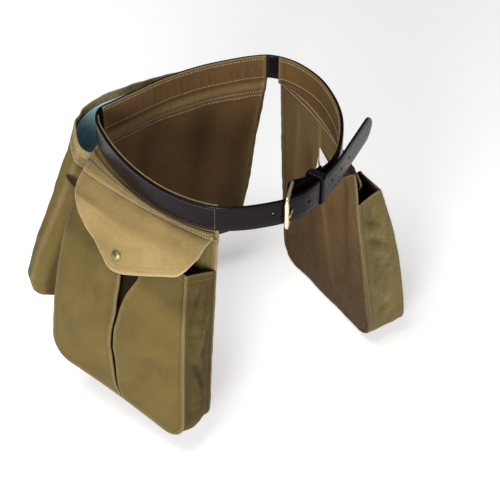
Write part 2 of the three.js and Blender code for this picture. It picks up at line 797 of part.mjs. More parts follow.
// The snap: a domed cap on the flap, and the stud it closes on under the flap.
function snapSeat(name, at) {
  const reach = FLAP_LENGTH - SNAP_FROM_EDGE;
  const step = SNAP_DIAMETER / 2;
  const centre = at(0, reach);
  const along = at(step, reach).sub(at(-step, reach));
  const fall = at(0, reach + step).sub(at(0, reach - step));
  const normal = along.cross(fall).normalize().multiplyScalar(-HANG[name].side);
  return { centre, normal };
}

function turned(profile, seat, out, segments) {
  const geometry = new THREE.LatheGeometry(profile.map(([r, y]) => new THREE.Vector2(r, y)), segments);
  const turn = new THREE.Quaternion().setFromUnitVectors(new THREE.Vector3(0, 1, 0), seat.normal);
  geometry.applyQuaternion(turn);
  const p = seat.centre.clone().addScaledVector(seat.normal, out);
  return geometry.translate(p.x, p.y, p.z);
}

function snap(name, place) {
  const onFlap = snapSeat(name, (u, reach) => flapPoint(name, place, u, reach));
  const onFront = snapSeat(name, (u, reach) => closedFlapPoint(place, u, reach));
  const radius = SNAP_DIAMETER / 2;
  const cap = [
    [0, 0],
    [radius * 0.92, 0],
    [radius, SNAP_HEIGHT * 0.3],
    [radius * 0.88, SNAP_HEIGHT * 0.7],
    [radius * 0.5, SNAP_HEIGHT * 0.95],
    [0, SNAP_HEIGHT],
  ];
  const tall = FLAP_CLEARANCE - 2 * SEAM_GAP;
  const stud = [[0, 0], [radius * 0.6, 0], [radius * 0.6, tall], [0, tall]];
  const under = -(FLAP_THICKNESS / 2 + SEAM_GAP + tall);
  return [
    part(`${name}_pouch_snap_cap`, turned(cap, onFlap, FLAP_THICKNESS / 2 + SEAM_GAP, 16), 'snap'),
    part(`${name}_pouch_snap_stud`, turned(stud, onFront, under, 12), 'snap'),
  ];
}

function pouch(name) {
  const place = pouchPlacer(name);
  const group = new THREE.Group();
  group.add(backPanel(name, place), gusset(name, place), frontPanel(name, place), flap(name, place));
  group.add(...snap(name, place));
  return group;
}

// Game bag

function bagChord() {
  const right = onBelt(bagBandStart, bandOut);
  const left = onBelt(bagBandEnd, bandOut);
  return { right, left, half: left.distanceTo(right) / 2 };
}

const chord = bagChord();
const bagTop = -halfBelt - HEM_DROP;

// The line of the inner panel at a share from the right seam to the left seam.
function bagInner(share, drop) {
  const held = onBelt(mix(bagBandStart, bagBandEnd, share), bandOut);
  const straight = chord.right.clone().lerp(chord.left, share);
  const hang = smooth(drop * 1.3) * 0.85;
  const point = held.lerp(straight, hang);
  const across = 2 * share - 1;
  point.x += -BAG_LEAN * drop + across * BAG_SPREAD * drop;
  point.y += -BAG_SPREAD * 0.3 * drop;
  return point;
}

function bagInnerPanel() {
  const across = steps(14);
  const band = [halfBelt, 0, -halfBelt].map((z) => ({ z, drop: 0 }));
  const body = [0.06, 0.14, 0.28, 0.44, 0.6, 0.76, 0.9, 1].map((drop) => ({ z: -halfBelt - BAG_DROP * drop, drop }));
  const rows = [...band, ...body];
  const surface = (share, j) => {
    const row = rows[j];
    const p = bagInner(share, row.drop);
    return new THREE.Vector3(p.x, p.y, row.z);
  };
  const down = rows.map((_, j) => j);
  return part('game_bag_inner_panel', sheet(across, down, surface, CANVAS), 'canvas');
}

// A point of the outer wall: i counts along BAG_SECTION, drop is a share of BAG_DROP.
function bagOuter(i, drop) {
  const row = BAG_SECTION[i];
  const fullness = lookUp(BAG_LEVELS, 'drop', 'fullness', drop);
  const flare = lookUp(BAG_LEVELS, 'drop', 'flare', drop);
  const side = Math.sign(row.across);
  const beyond = Math.max(0, Math.abs(row.across) - 1) * flare;
  const within = Math.min(1, Math.abs(row.across));
  const share = (side * within + 1) / 2;
  const seam = bagInner(share, drop);
  const ends = bagInner(0, drop).lerp(bagInner(1, drop), share);
  const base = seam.lerp(ends, clamp01(row.out));
  const seamGap = CANVAS * 1.3 + SEAM_GAP;
  base.x += side * beyond * chord.half;
  base.y += seamGap + row.out * BAG_DEPTH * fullness;
  return base;
}

const bagColumns = BAG_SECTION.map((_, i) => i);
const bagRows = [0, 0.06, 0.14, 0.28, 0.44, 0.6, 0.76, 0.9, 0.95, 0.985, 1];

function bagHeight(i, drop) {
  return mix(bagTop - BAG_SECTION[i].dip * BAG_DROP, -halfBelt - BAG_DROP, drop);
}

function bagOuterPanel() {
  const surface = (i, drop) => {
    const p = bagOuter(i, drop);
    return new THREE.Vector3(p.x, p.y, bagHeight(i, drop));
  };
  return part('game_bag_outer_panel', sheet(bagColumns, bagRows, surface, CANVAS), 'canvas');
}

// A point inside the outer wall, at a distance from it.
function bagInside(i, drop, inset) {
  const along = bagOuter(i + 1, drop).sub(bagOuter(i - 1, drop)).normalize();
  const inward = new THREE.Vector2(along.y, -along.x);
  return bagOuter(i, drop).addScaledVector(inward, inset);
}

// The waterproof lining is a second bag inside, against both panels.
function bagLining() {
  const inset = CANVAS / 2 + LINING_GAP + LINING / 2 + SEAM_GAP;
  const outside = bagColumns.slice(1, -1);
  const inside = [0.9, 0.7, 0.5, 0.3, 0.1];
  const seam = BAG_SECTION.length - 1;
  const stops = [...outside.map((i) => ({ i })), ...inside.map((share) => ({ i: seam, share }))];
  const surface = (k, drop) => {
    const { i, share } = stops[k];
    const p = share === undefined ? bagInside(i, drop, inset) : bagInner(share, drop);
    if (share !== undefined) p.y += inset * 1.5;
    return new THREE.Vector3(p.x, p.y, bagHeight(i, drop));
  };
  const down = [LINING_DROP / BAG_DROP, ...bagRows.slice(1, -3)];
  return part('game_bag_lining', sheet(stops.map((_, k) => k), down, surface, LINING, true), 'lining');
}

// A blank label on the inner face of the left pouch's back panel.
function label() {
  const place = pouchPlacer('left');
  const turn = LABEL_TURN * degrees;
  const out = -(CANVAS / 2 + SEAM_GAP + LABEL_THICKNESS / 2);
  const surface = (a, b) => {
    const forward = a * LABEL_WIDTH;
    const low = b * LABEL_HEIGHT;
    const u = LABEL_PAST_MIDDLE - forward * Math.cos(turn) + low * Math.sin(turn);
    const h = LABEL_BELOW_HINGE + forward * Math.sin(turn) + low * Math.cos(turn);
    return place(u, h, out);
  };
  return part('label', sheet(steps(3), steps(4), surface, LABEL_THICKNESS), 'label');
}

const model = new THREE.Group();
model.add(belt(), buckleFrame(), buckleProng(), beltKeeper());
model.add(pouch('right'), pouch('left'));
model.add(bagInnerPanel(), bagOuterPanel(), bagLining(), label());

export default model;
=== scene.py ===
"""The looks of a leather belt with two canvas pouches and a lined game bag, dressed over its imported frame."""

import math

import bpy
import numpy as np
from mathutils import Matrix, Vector


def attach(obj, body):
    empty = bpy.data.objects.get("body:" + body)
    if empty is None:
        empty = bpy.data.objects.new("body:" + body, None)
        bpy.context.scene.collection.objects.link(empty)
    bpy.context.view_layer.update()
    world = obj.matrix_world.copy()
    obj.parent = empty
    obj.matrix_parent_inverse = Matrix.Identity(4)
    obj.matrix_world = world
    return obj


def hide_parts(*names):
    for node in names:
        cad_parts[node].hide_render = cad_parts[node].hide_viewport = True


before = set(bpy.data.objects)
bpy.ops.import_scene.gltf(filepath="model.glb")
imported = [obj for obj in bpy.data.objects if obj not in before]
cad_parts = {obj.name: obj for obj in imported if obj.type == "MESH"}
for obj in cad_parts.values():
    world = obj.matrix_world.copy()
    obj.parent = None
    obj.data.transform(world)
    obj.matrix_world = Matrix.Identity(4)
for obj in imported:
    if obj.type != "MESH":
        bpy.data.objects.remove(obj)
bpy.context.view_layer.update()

# Lengths are in millimetres, as in the part, and meshes are made in metres.
MM = 0.001
DEGREE = math.pi / 180

# The camera: the world point that it was set up on, and where that falls in the picture
PICTURE_SIDE = 500
SENSOR = 36.0
AZIMUTH = -29.0
ELEVATION = 42.0
CAMERA_DISTANCE = 1850.0
PIXELS_PER_MM = 0.768
AIM_POINT = (-12.0, 26.0, 0.0)
AIM_PIXEL = (218.0, 133.0)

# Belt
LOOP_HALF = np.array([154.0, 149.0])
BELT_WIDTH = 38.0
BELT_THICKNESS = 3.8
FREE_END_LENGTH = 212.0
TIP_LENGTH = 17.0
TIP_POINT = 1.2
HOLE_DIAMETER = 4.6
HOLE_PITCH = 25.4
HOLE_COUNT = 7
HOLES_INSIDE = 1
FOLD_LENGTH = 52.0
HALF_BELT = BELT_WIDTH / 2

# Buckle and keeper
BAR_PITCH = 39.0
BAR_THICKNESS = 4.4
BUCKLE_CLEARANCE = 1.4
BUCKLE_TURN = -131 * DEGREE
PRONG_WIDTH = 4.0
PRONG_THICKNESS = 2.8
OUTER_BAR_WIDTH = 7.6
OUTER_BAR_THICKNESS = 5.8
KEEPER_WIDTH = 10.0
KEEPER_THICKNESS = 2.0
KEEPER_CROWN = 1.1
KEEPER_DISTANCE = 62.0

# Canvas
CANVAS = 1.6
SEAM_GAP = 0.3
HINGE_DROP = 19.0
CELL = 2.3

# Pouches
SIDE_BAND = 256.0
RIGHT_BAND_START = 86.0
LEFT_BAND_END = 72.0
POUCH_WIDTH = 228.0
POUCH_HEIGHT = 291.0
POUCH_CORNER = 34.0
MOUTH_DROP = 44.0
MOUTH_DEPTH_FRONT = 40.0
MOUTH_DEPTH_REAR = 28.0
BOTTOM_DEPTH = 57.0
BELLY = 13.0
FRONT_INSET = 13.0
PLEAT_DEPTH = 15.0
PLEAT_OPENING = 11.0
PLEAT_LAP = 2.0
WELTS = (-6.0, 0.5)
WELT_WIDTH = 4.8
WELT_HEIGHT = 1.2
GUSSET_SAG = 0.5
FLAP_WIDTH = 220.0
FLAP_SHIFT = 2.0
FLAP_TAPER = 0.19
FLAP_TAPER_REACH = 62.0
FLAP_LENGTH = 100.0
FLAP_THICKNESS = 2.4
FLAP_CLEARANCE = 2.2
FLAP_ROOT = 11.0
TUCK_DEPTH = 11.0
TUCK_INSET = 0.12
SNAP_DIAMETER = 15.0
SNAP_HEIGHT = 3.0
SNAP_FROM_EDGE = 13.0
SNAP_SHIFT = 2.5
BODY_HEIGHT = POUCH_HEIGHT - MOUTH_DROP
HINGE_Z = -HALF_BELT - HINGE_DROP
BAND_TOP = -(BELT_WIDTH + HINGE_DROP)

# Game bag
BAG_GAP = 20.0
BAG_DROP = 250.0
BAG_DEPTH = 78.0
BAG_LEAN = 71.0
BAG_SPREAD = 19.0
HEM_DROP = 1.0
LINING = 1.0
LINING_INSET = 2.2
LINING_DROP = 9.0
BAG_TOP = -HALF_BELT - HEM_DROP
BAG_BOTTOM = -HALF_BELT - BAG_DROP

# Label
LABEL_WIDTH = 33.0
LABEL_HEIGHT = 56.0
LABEL_THICKNESS = 0.8
LABEL_TURN = 17 * DEGREE
LABEL_PAST_MIDDLE = 5.0
LABEL_BELOW_HINGE = 35.0

# Stitching
STITCH_PITCH = 3.7
STITCH_LENGTH = 2.7
STITCH_RADIUS = 0.6

# The belt's centre line from above, as shares of the loop's half sizes, from the buckle round
LOOP_ROUTE = [
    (-0.08, -1.02), (-0.26, -0.985), (-0.43, -0.93), (-0.61, -0.83), (-0.76, -0.65), (-0.89, -0.39),
    (-0.97, -0.08), (-1.0, 0.24), (-0.99, 0.52), (-0.955, 0.725), (-0.87, 0.85), (-0.715, 0.89),
    (-0.49, 0.935), (-0.18, 0.99), (0.17, 0.995), (0.44, 0.955), (0.65, 0.905), (0.785, 0.845),
    (0.89, 0.725), (0.96, 0.565), (1.0, 0.3), (0.97, 0.03), (0.885, -0.25), (0.74, -0.505),
    (0.56, -0.715), (0.37, -0.815), (0.21, -0.872),
]
FREE_END_ROUTE = [(0.1, -1.01), (0.31, -0.92), (0.545, -0.785), (0.745, -0.635)]
HEEL_BAR = np.array([0.06, -0.875]) * LOOP_HALF

# How each pouch hangs, with the part's own columns
HANG = {
    "right": dict(side=-1, across=-0.879, along=-0.12, yaw=22, twist=4, swing=11, skew=3,
                  rise=0.13, bow=0.038, bottom_bow=0.016),
    "left": dict(side=1, across=0.87, along=0.115, yaw=5, twist=-7.5, swing=1.6, skew=6.5,
                 rise=-0.03, bow=0.044, bottom_bow=0.003),
}
TUCKED = "left"

# How far each pouch's front seams puff outwards half way down, at its front and its rear end
EDGE_PUFF = {"right": (0.0, 11.0), "left": (9.0, 4.0)}

# The pleat down a front panel: gap is half its opening as a share of PLEAT_OPENING
PLEAT = dict(
    drop=[0.0, 0.2, 0.3, 0.42, 0.54, 0.65, 0.78, 0.9, 1.0],
    gap=[1.35, 1.23, 0.62, 0.3, 0.22, 0.27, 0.3, 0.24, 0.14],
    shift=[-0.2, -0.162, -0.125, -0.08, -0.038, -0.02, -0.018, -0.035, -0.105],
)

# The pleat's wall from its middle outwards: share is a share of half the opening and past is millimetres
# beyond its lip; deep is a share of PLEAT_DEPTH, and lip says how much a point moves with the lapping lip
PLEAT_WALL = dict(
    share=[0.0, 0.4, 0.8, 1.0, 1.0, 1.0, 1.0, 1.0, 1.0, 1.0, 1.0, 1.0],
    past=[0.0, 0.0, 0.0, 2.2, 3.6, 3.2, 1.4, 0.1, 0.3, 1.6, 4.0, 7.0],
    deep=[1.0, 1.0, 0.98, 0.86, 0.62, 0.38, 0.16, 0.05, -0.03, -0.07, -0.05, 0.0],
    worn=[0.0, 0.0, 0.0, 0.0, 0.0, 0.0, 0.0, 0.2, 0.45, 0.3, 0.05, 0.0],
    # Painted shade, darkest deep in the groove where shade falls.
    painted_shade=[1.0, 1.0, 1.0, 1.0, 1.0, 1.0, 0.9, 0.4, 0.1, 0.0, 0.0, 0.0],
    lip=[0.0, 0.0, 0.0, 0.0, 0.2, 0.5, 0.9, 1.0, 1.0, 1.0, 0.7, 0.2],
)

# The flap's free edge from its front end to its rear end
FLAP_EDGE = dict(
    across=[-1.0, -0.964, -0.864, -0.768, -0.486, -0.29, -0.095, 0.03, 0.115, 0.21, 0.46, 0.69, 0.915, 1.0],
    reach=[0.25, 0.395, 0.525, 0.62, 0.815, 0.935, 1.04, 1.075, 1.065, 1.01, 0.9, 0.84, 0.72, 0.6],
)
FLAP_EDGE_ROUNDING = 0.03

# Folds as ridges between two points, with a width and a height: on panels in u and h, on a gusset in its
# run from the front end of the mouth and its way across
BACK_FOLDS = {
    "right": [((-60, 120), (-40, 260), 9, 1.6)],
    "left": [
        ((12, -10), (2, 120), 5, 2.6),
        ((2, 90), (-22, 250), 6, 2.2),
        ((70, 20), (78, 160), 7, 1.8),
        ((-72, 40), (-60, 200), 9, -1.8),
        ((40, 60), (30, 240), 12, -1.6),
    ],
}
FRONT_FOLDS = {
    "right": [
        ((-70, 190), (-25, 262), 10, -2.2),
        ((-88, 215), (-52, 280), 7, 1.6),
        ((30, 205), (85, 262), 12, -2.0),
        ((55, 175), (100, 235), 9, 1.4),
        ((-30, 270), (45, 282), 6, 1.8),
        ((-95, 95), (-70, 200), 13, -2.0),
        ((70, 110), (85, 190), 11, 1.6),
    ],
    "left": [
        ((-60, 180), (-20, 260), 10, -2.0),
        ((30, 190), (80, 250), 11, 1.8),
    ],
}
GUSSET_FOLDS = {
    "right": [
        ((60, 6), (120, 34), 5, 1.6),
        ((130, 40), (175, 16), 6, -1.8),
        ((20, 30), (70, 46), 5, -1.4),
    ],
    "left": [
        ((34, 4), (58, 44), 5.5, -1.8),
        ((52, 4), (78, 46), 6, 1.5),
        ((72, 14), (98, 50), 5.5, -1.7),
        ((96, 20), (112, 50), 5.5, 1.3),
        ((150, 8), (190, 40), 8, 1.2),
    ],
}
EAR_BULGE = {"right": 30.0, "left": 2.0}
BOTTOM_PUFF = 5.0
GUSSET_PUFF = {"right": 3.5, "left": -2.4}
GUSSET_WRINKLE = {"right": 0.7, "left": 0.8}
# Painted light that makes the left gusset lighter and painted shade that makes the right gusset darker, as light falls
# on them.
GUSSET_PAINTED_LIGHT = {"right": 0.0, "left": 0.28}
GUSSET_PAINTED_SHADE = {"right": 0.34, "left": 0.0}
MOUTH_SLANT = {"right": 0.0, "left": 6.0}
MOUTH_SAG = {"right": 0.0, "left": 15.0}

# The outer wall of the game bag and how it changes as it drops, as in the part
BAG_SECTION = dict(
    across=[-1.0, -1.07, -1.21, -1.29, -1.23, -1.05, -0.8, -0.43, 0.05, 0.5, 0.85, 1.05, 1.06, 1.0],
    out=[0.0, 0.0, -0.16, 0.03, 0.4, 0.75, 0.96, 1.03, 1.0, 0.84, 0.56, 0.28, 0.08, 0.0],
    dip=[0.05, 0.08, 0.08, 0.06, 0.0, 0.0, 0.0, 0.0, 0.0, 0.0, 0.0, 0.0, 0.0, 0.0],
)
BAG_LEVELS = dict(
    drop=[0.0, 0.18, 0.4, 0.66, 0.85, 0.94, 0.985, 1.0],
    fullness=[0.94, 0.9, 0.92, 1.0, 1.0, 0.84, 0.5, 0.06],
    flare=[1.0, 1.0, 1.22, 1.5, 1.5, 1.15, 0.45, 0.1],
)


def mix(a, b, t):
    return a + (b - a) * t


def smooth(t):
    c = np.clip(t, 0, 1)
    return c * c * (3 - 2 * c)


def bump(t):
    """A smooth hill over 0 to 1, nothing outside."""
    return np.where((t > 0) & (t < 1), np.sin(np.pi * np.clip(t, 0, 1)) ** 2, 0.0)


def unit(v):
    return v / np.maximum(np.linalg.norm(v, axis=-1, keepdims=True), 1e-9)


def stack(*parts):
    return np.stack(np.broadcast_arrays(*parts), axis=-1)


def rumple(x, y, seed, length, heading=None, spread=0.5, waves=7):
    """Seeded soft waves about a length apart, from -1 to 1; with a heading, they run across it."""
    rng = np.random.default_rng(seed)
    total = 0.0
    for _ in range(waves):
        turn = rng.uniform(0, np.pi) if heading is None else rng.normal(heading, spread)
        wave = length * rng.uniform(0.65, 1.5)
        shift = rng.uniform(0, 2 * np.pi)
        total = total + np.sin(2 * np.pi * (x * math.cos(turn) + y * math.sin(turn)) / wave + shift)
    return total / (waves ** 0.5 * 1.6)


def folds(x, y, table):
    """Ridges drawn between pairs of points, each with its own width and height."""
    total = 0.0
    for (x0, y0), (x1, y1), width, height in table:
        dx, dy = x1 - x0, y1 - y0
        t = ((x - x0) * dx + (y - y0) * dy) / (dx * dx + dy * dy)
        away = ((x - x0) * dy - (y - y0) * dx) / math.hypot(dx, dy)
        fade = smooth((t + 0.15) / 0.3) * smooth((1.15 - t) / 0.3)
        total = total + height * fade * np.exp(-((away / width) ** 2))
    return total


# Lines drawn from above


def curve_through(points, steps=40):
    """A centripetal curve through points, as a dense line."""
    p = np.array(points, float)
    p = np.vstack([2 * p[0] - p[1], p, 2 * p[-1] - p[-2]])
    out = []
    t = np.linspace(0, 1, steps, endpoint=False)[:, None]
    for a, b, c, d in zip(p[:-3], p[1:-2], p[2:-1], p[3:]):
        d0, d1, d2 = (max(np.linalg.norm(q - r), 1e-6) ** 0.5 for q, r in ((a, b), (b, c), (c, d)))
        m1 = ((b - a) / d0 - (c - a) / (d0 + d1) + (c - b) / d1) * d1
        m2 = ((c - b) / d1 - (d - b) / (d1 + d2) + (d - c) / d2) * d1
        out.append(b + m1 * t + (3 * (c - b) - 2 * m1 - m2) * t**2 + (2 * (b - c) + m1 + m2) * t**3)
    out.append(p[-2][None])
    return np.vstack(out)


class PlanLine:
    """A line measured by its own length."""

    def __init__(self, points):
        self.points = points
        steps = np.linalg.norm(np.diff(points, axis=0), axis=1)
        self.reach = np.concatenate([[0], np.cumsum(steps)])
        self.length = self.reach[-1]

    def at(self, distance):
        s = np.clip(distance, 0, self.length)
        return stack(*(np.interp(s, self.reach, self.points[:, k]) for k in range(self.points.shape[1])))

    def heading(self, distance, spread=4.0):
        return unit(self.at(distance + spread) - self.at(distance - spread))

    def offset(self, distance, out):
        along = self.heading(distance)
        normal = stack(-along[..., 1], along[..., 0])
        return self.at(distance) + normal * np.asarray(out)[..., None]


def strap_line():
    out = np.array(FREE_END_ROUTE) * LOOP_HALF
    loop = np.array(LOOP_ROUTE) * LOOP_HALF
    straight = unit(out[-1] - out[-2])
    arrive = unit(HEEL_BAR - loop[-1])
    side = np.array([-arrive[1], arrive[0]])
    wrap = BAR_THICKNESS / 2 + 3 * SEAM_GAP + BELT_THICKNESS / 2
    route = [out[-1] + straight * FREE_END_LENGTH, *out[::-1], *loop, HEEL_BAR + side * wrap]
    line = PlanLine(curve_through(route))
    near = np.arange(0, line.length / 2, 0.5)
    buckle = near[np.argmin(np.linalg.norm(line.at(near) - loop[0], axis=1))]
    return line, buckle, arrive, side, wrap


LOOP_LINE, BUCKLE_AT, ARRIVE, ARRIVE_SIDE, WRAP_RADIUS = strap_line()
HEEL_DISTANCE = LOOP_LINE.length - BUCKLE_AT
BAND_OUT = -(BELT_THICKNESS / 2 + SEAM_GAP + CANVAS / 2)
LEFT_BAND_FRONT = HEEL_DISTANCE - LEFT_BAND_END
BAG_START = RIGHT_BAND_START + SIDE_BAND + BAG_GAP
BAG_END = LEFT_BAND_FRONT - SIDE_BAND - BAG_GAP


def on_belt(distance, out):
    return LOOP_LINE.offset(BUCKLE_AT + np.asarray(distance, float), out)


# Meshes


def add_mesh(name, points, faces, uv=None, marks=None, smooth_shade=True):
    """A new object from corner points in millimetres and rows of four corners; -1 makes a triangle."""
    faces = np.asarray(faces, int)
    sizes = (faces >= 0).sum(axis=1)
    corners = faces[faces >= 0]
    starts = np.concatenate([[0], np.cumsum(sizes)[:-1]])
    mesh = bpy.data.meshes.new(name)
    mesh.vertices.add(len(points))
    mesh.vertices.foreach_set("co", (np.asarray(points) * MM).astype(np.float32).ravel())
    mesh.loops.add(len(corners))
    mesh.loops.foreach_set("vertex_index", corners.astype(np.int32))
    mesh.polygons.add(len(faces))
    mesh.polygons.foreach_set("loop_start", starts.astype(np.int32))
    mesh.update(calc_edges=True)
    mesh.polygons.foreach_set("use_smooth", np.full(len(faces), smooth_shade))
    if uv is not None:
        layer = mesh.uv_layers.new(name="cloth")
        layer.data.foreach_set("uv", (np.asarray(uv)[corners] * MM).astype(np.float32).ravel())
    for key, values in (marks or {}).items():
        mesh.attributes.new(key, "FLOAT", "POINT").data.foreach_set("value", values.astype(np.float32))
    obj = bpy.data.objects.new(name, mesh)
    bpy.context.scene.collection.objects.link(obj)
    return obj


def dress(obj, material, slot, *nodes):
    obj.data.materials.clear()
    obj.data.materials.append(material)
    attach(obj, "root")
    if nodes:
        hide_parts(*nodes)
    return obj


class Sheet:
    """A thin closed wall about a grid of points, with its own across and down measures."""

    def __init__(self, across, down, middle, thickness, wear_and_painted_light=0.0, painted_shade=0.0, ring=False):
        self.across = np.asarray(across, float)
        self.down = np.asarray(down, float)
        self.middle = middle
        self.ring = ring
        rows, columns = middle.shape[:2]
        if ring:
            along = np.roll(middle, -1, axis=1) - np.roll(middle, 1, axis=1)
        else:
            along = np.gradient(middle, axis=1)
        self.normal = unit(np.cross(along, np.gradient(middle, axis=0)))
        self.thickness = np.broadcast_to(np.asarray(thickness, float), (rows, columns))
        self.wear_and_painted_light = np.broadcast_to(np.asarray(wear_and_painted_light, float), (rows, columns))
        self.painted_shade = np.broadcast_to(np.asarray(painted_shade, float), (rows, columns))
        side = np.linalg.norm(np.diff(middle, axis=1, prepend=middle[:, :1]), axis=2)
        fall = np.linalg.norm(np.diff(middle, axis=0, prepend=middle[:1]), axis=2)
        self.measure = stack(np.cumsum(side.mean(axis=0))[None, :], np.cumsum(fall.mean(axis=1))[:, None])

    def border(self):
        rows, columns = self.middle.shape[:2]
        index = np.arange(rows * columns).reshape(rows, columns)
        if self.ring:
            return [index[0], index[-1][::-1]]
        return [np.concatenate([index[0, :-1], index[:-1, -1], index[-1, :0:-1], index[:0:-1, 0]])]

    def make(self, name):
        rows, columns = self.middle.shape[:2]
        count = rows * columns
        half = self.thickness[..., None] / 2
        top = (self.middle + self.normal * half).reshape(-1, 3)
        under = (self.middle - self.normal * half).reshape(-1, 3)
        index = np.arange(count).reshape(rows, columns)
        right = np.roll(index, -1, axis=1) if self.ring else index[:, 1:]
        left = index if self.ring else index[:, :-1]
        a, b, c, d = left[:-1], right[:-1], right[1:], left[1:]
        upper = np.stack([a, b, c, d], axis=-1).reshape(-1, 4)
        lower = np.stack([a, d, c, b], axis=-1).reshape(-1, 4) + count
        points, faces = [top, under], [upper, lower]
        source = [np.arange(count), np.arange(count)]
        flat = self.middle.reshape(-1, 3)
        inner = self.inner_neighbours().reshape(-1)
        start = 2 * count
        for loop in self.border():
            away = unit(flat[loop] - flat[inner[loop]])
            middle = flat[loop] + away * self.thickness.reshape(-1)[loop][:, None] * 0.42
            points.append(middle)
            source.append(loop)
            n = len(loop)
            mid = start + np.arange(n)
            nxt = np.roll(np.arange(n), -1)
            faces.append(np.stack([loop, mid, mid[nxt], loop[nxt]], axis=-1))
            faces.append(np.stack([mid, loop + count, loop[nxt] + count, mid[nxt]], axis=-1))
            start += n
        source = np.concatenate(source)
        uv = self.measure.reshape(-1, 2)[source]
        # Two marks ride on the cloth: wear with some painted light, and painted shade.
        marks = {"wear_and_painted_light": self.wear_and_painted_light.reshape(-1)[source], "painted_shade": self.painted_shade.reshape(-1)[source]}
        return add_mesh(name, np.vstack(points), np.vstack(faces), uv, marks)

    def outward(self, way):
        """1 where the normal at the sheet's middle points along a way, else -1."""
        rows, columns = self.middle.shape[:2]
        return 1.0 if self.normal[rows // 2, columns // 2] @ np.asarray(way) > 0 else -1.0

    def cut(self):
        """The cloth's width, length and area before it was bent, in metres."""
        m = np.concatenate([self.middle, self.middle[:, :1]], axis=1) if self.ring else self.middle
        along, fall = np.diff(m, axis=1) * MM, np.diff(m, axis=0) * MM
        width = np.linalg.norm(along, axis=2).sum(axis=1).max()
        length = np.linalg.norm(fall, axis=2).sum(axis=0).max()
        area = np.linalg.norm(np.cross(along[:-1], fall[:, :-1]), axis=2).sum()
        return width, length, min(area, width * length)

    def hang(self, name, material, slot, node):
        """The sheet as a dressed piece of cloth that hangs from the belt."""
        piece = dress(self.make(name), material, slot, node)
        width, length, area = self.cut()
        return piece

    def inner_neighbours(self):
        rows, columns = self.middle.shape[:2]
        index = np.arange(rows * columns).reshape(rows, columns)
        inner = index.copy()
        inner[0], inner[-1] = index[1], index[-2]
        if not self.ring:
            inner[1:-1, 0], inner[1:-1, -1] = index[1:-1, 1], index[1:-1, -2]
            inner[0, 0], inner[0, -1] = index[1, 1], index[1, -2]
            inner[-1, 0], inner[-1, -1] = index[-2, 1], index[-2, -2]
        return inner

    def point(self, across, down, side=1.0, lift=0.0):
        """Points on one face, and their outward normals, at places in the sheet's own measures."""
        i = np.interp(across, self.across, np.arange(len(self.across)))
        j = np.interp(down, self.down, np.arange(len(self.down)))
        i, j = np.broadcast_arrays(i, j)
        i0 = np.clip(np.floor(i).astype(int), 0, len(self.across) - 2)
        j0 = np.clip(np.floor(j).astype(int), 0, len(self.down) - 2)
        fi, fj = (i - i0)[..., None], (j - j0)[..., None]

        def read(grid):
            a = mix(grid[j0, i0], grid[j0, i0 + 1], fi)
            return mix(a, mix(grid[j0 + 1, i0], grid[j0 + 1, i0 + 1], fi), fj)

        normal = unit(read(self.normal)) * side
        thick = read(self.thickness[..., None])
        return read(self.middle) + normal * (thick / 2 + lift), normal


def spaced(low, high, cell=CELL):
    return np.linspace(low, high, max(2, int(round(abs(high - low) / cell)) + 1))


# Stitches are small tapered beads laid along lines on a sheet.
STITCH_RINGS = ((-0.5, 0.35), (-0.25, 0.9), (0.0, 1.0), (0.25, 0.9), (0.5, 0.35))
STITCH_SIDES = 5


class Stitching:
    """Collects rows of stitches, then makes them one mesh."""

    def __init__(self):
        self.centres, self.along, self.out = [], [], []

    def row(self, points, normals, pitch=STITCH_PITCH):
        line = PlanLine(points)
        count = int(line.length / pitch)
        if count < 1:
            return
        s = (np.arange(count) + 0.5) * line.length / count
        out = unit(stack(*(np.interp(s, line.reach, normals[:, k]) for k in range(3))))
        self.centres.append(line.at(s))
        self.along.append(line.heading(s, 1.0))
        self.out.append(out)

    def make(self, name, length=STITCH_LENGTH, radius=STITCH_RADIUS):
        centre, along, out = (np.vstack(v) for v in (self.centres, self.along, self.out))
        side = unit(np.cross(along, out))
        out = np.cross(side, along)
        turns = np.arange(STITCH_SIDES) * 2 * np.pi / STITCH_SIDES
        shape = []
        for place, share in STITCH_RINGS:
            arch = -abs(place) * radius * 1.6
            for turn in turns:
                ring = (math.cos(turn) * out + math.sin(turn) * side) * radius * share
                shape.append(centre + along * place * length + out * arch + ring)
        points = np.stack(shape, axis=1)
        per = len(STITCH_RINGS) * STITCH_SIDES
        faces = []
        for r in range(len(STITCH_RINGS) - 1):
            for k in range(STITCH_SIDES):
                a, b = r * STITCH_SIDES + k, r * STITCH_SIDES + (k + 1) % STITCH_SIDES
                faces.append([a, b, b + STITCH_SIDES, a + STITCH_SIDES])
        for r, order in ((0, (0, 4, 3, 2, 1)), (len(STITCH_RINGS) - 1, (0, 1, 2, 3, 4))):
            base = r * STITCH_SIDES
            first, *rest = (base + o for o in order)
            faces += [[first, p, q, -1] for p, q in zip(rest[:-1], rest[1:])]
        faces = np.array(faces)
        offsets = np.arange(len(centre))[:, None, None] * per
        every = np.where(faces[None] >= 0, faces[None] + offsets, -1)
        return add_mesh(name, points.reshape(-1, 3), every.reshape(-1, 4))


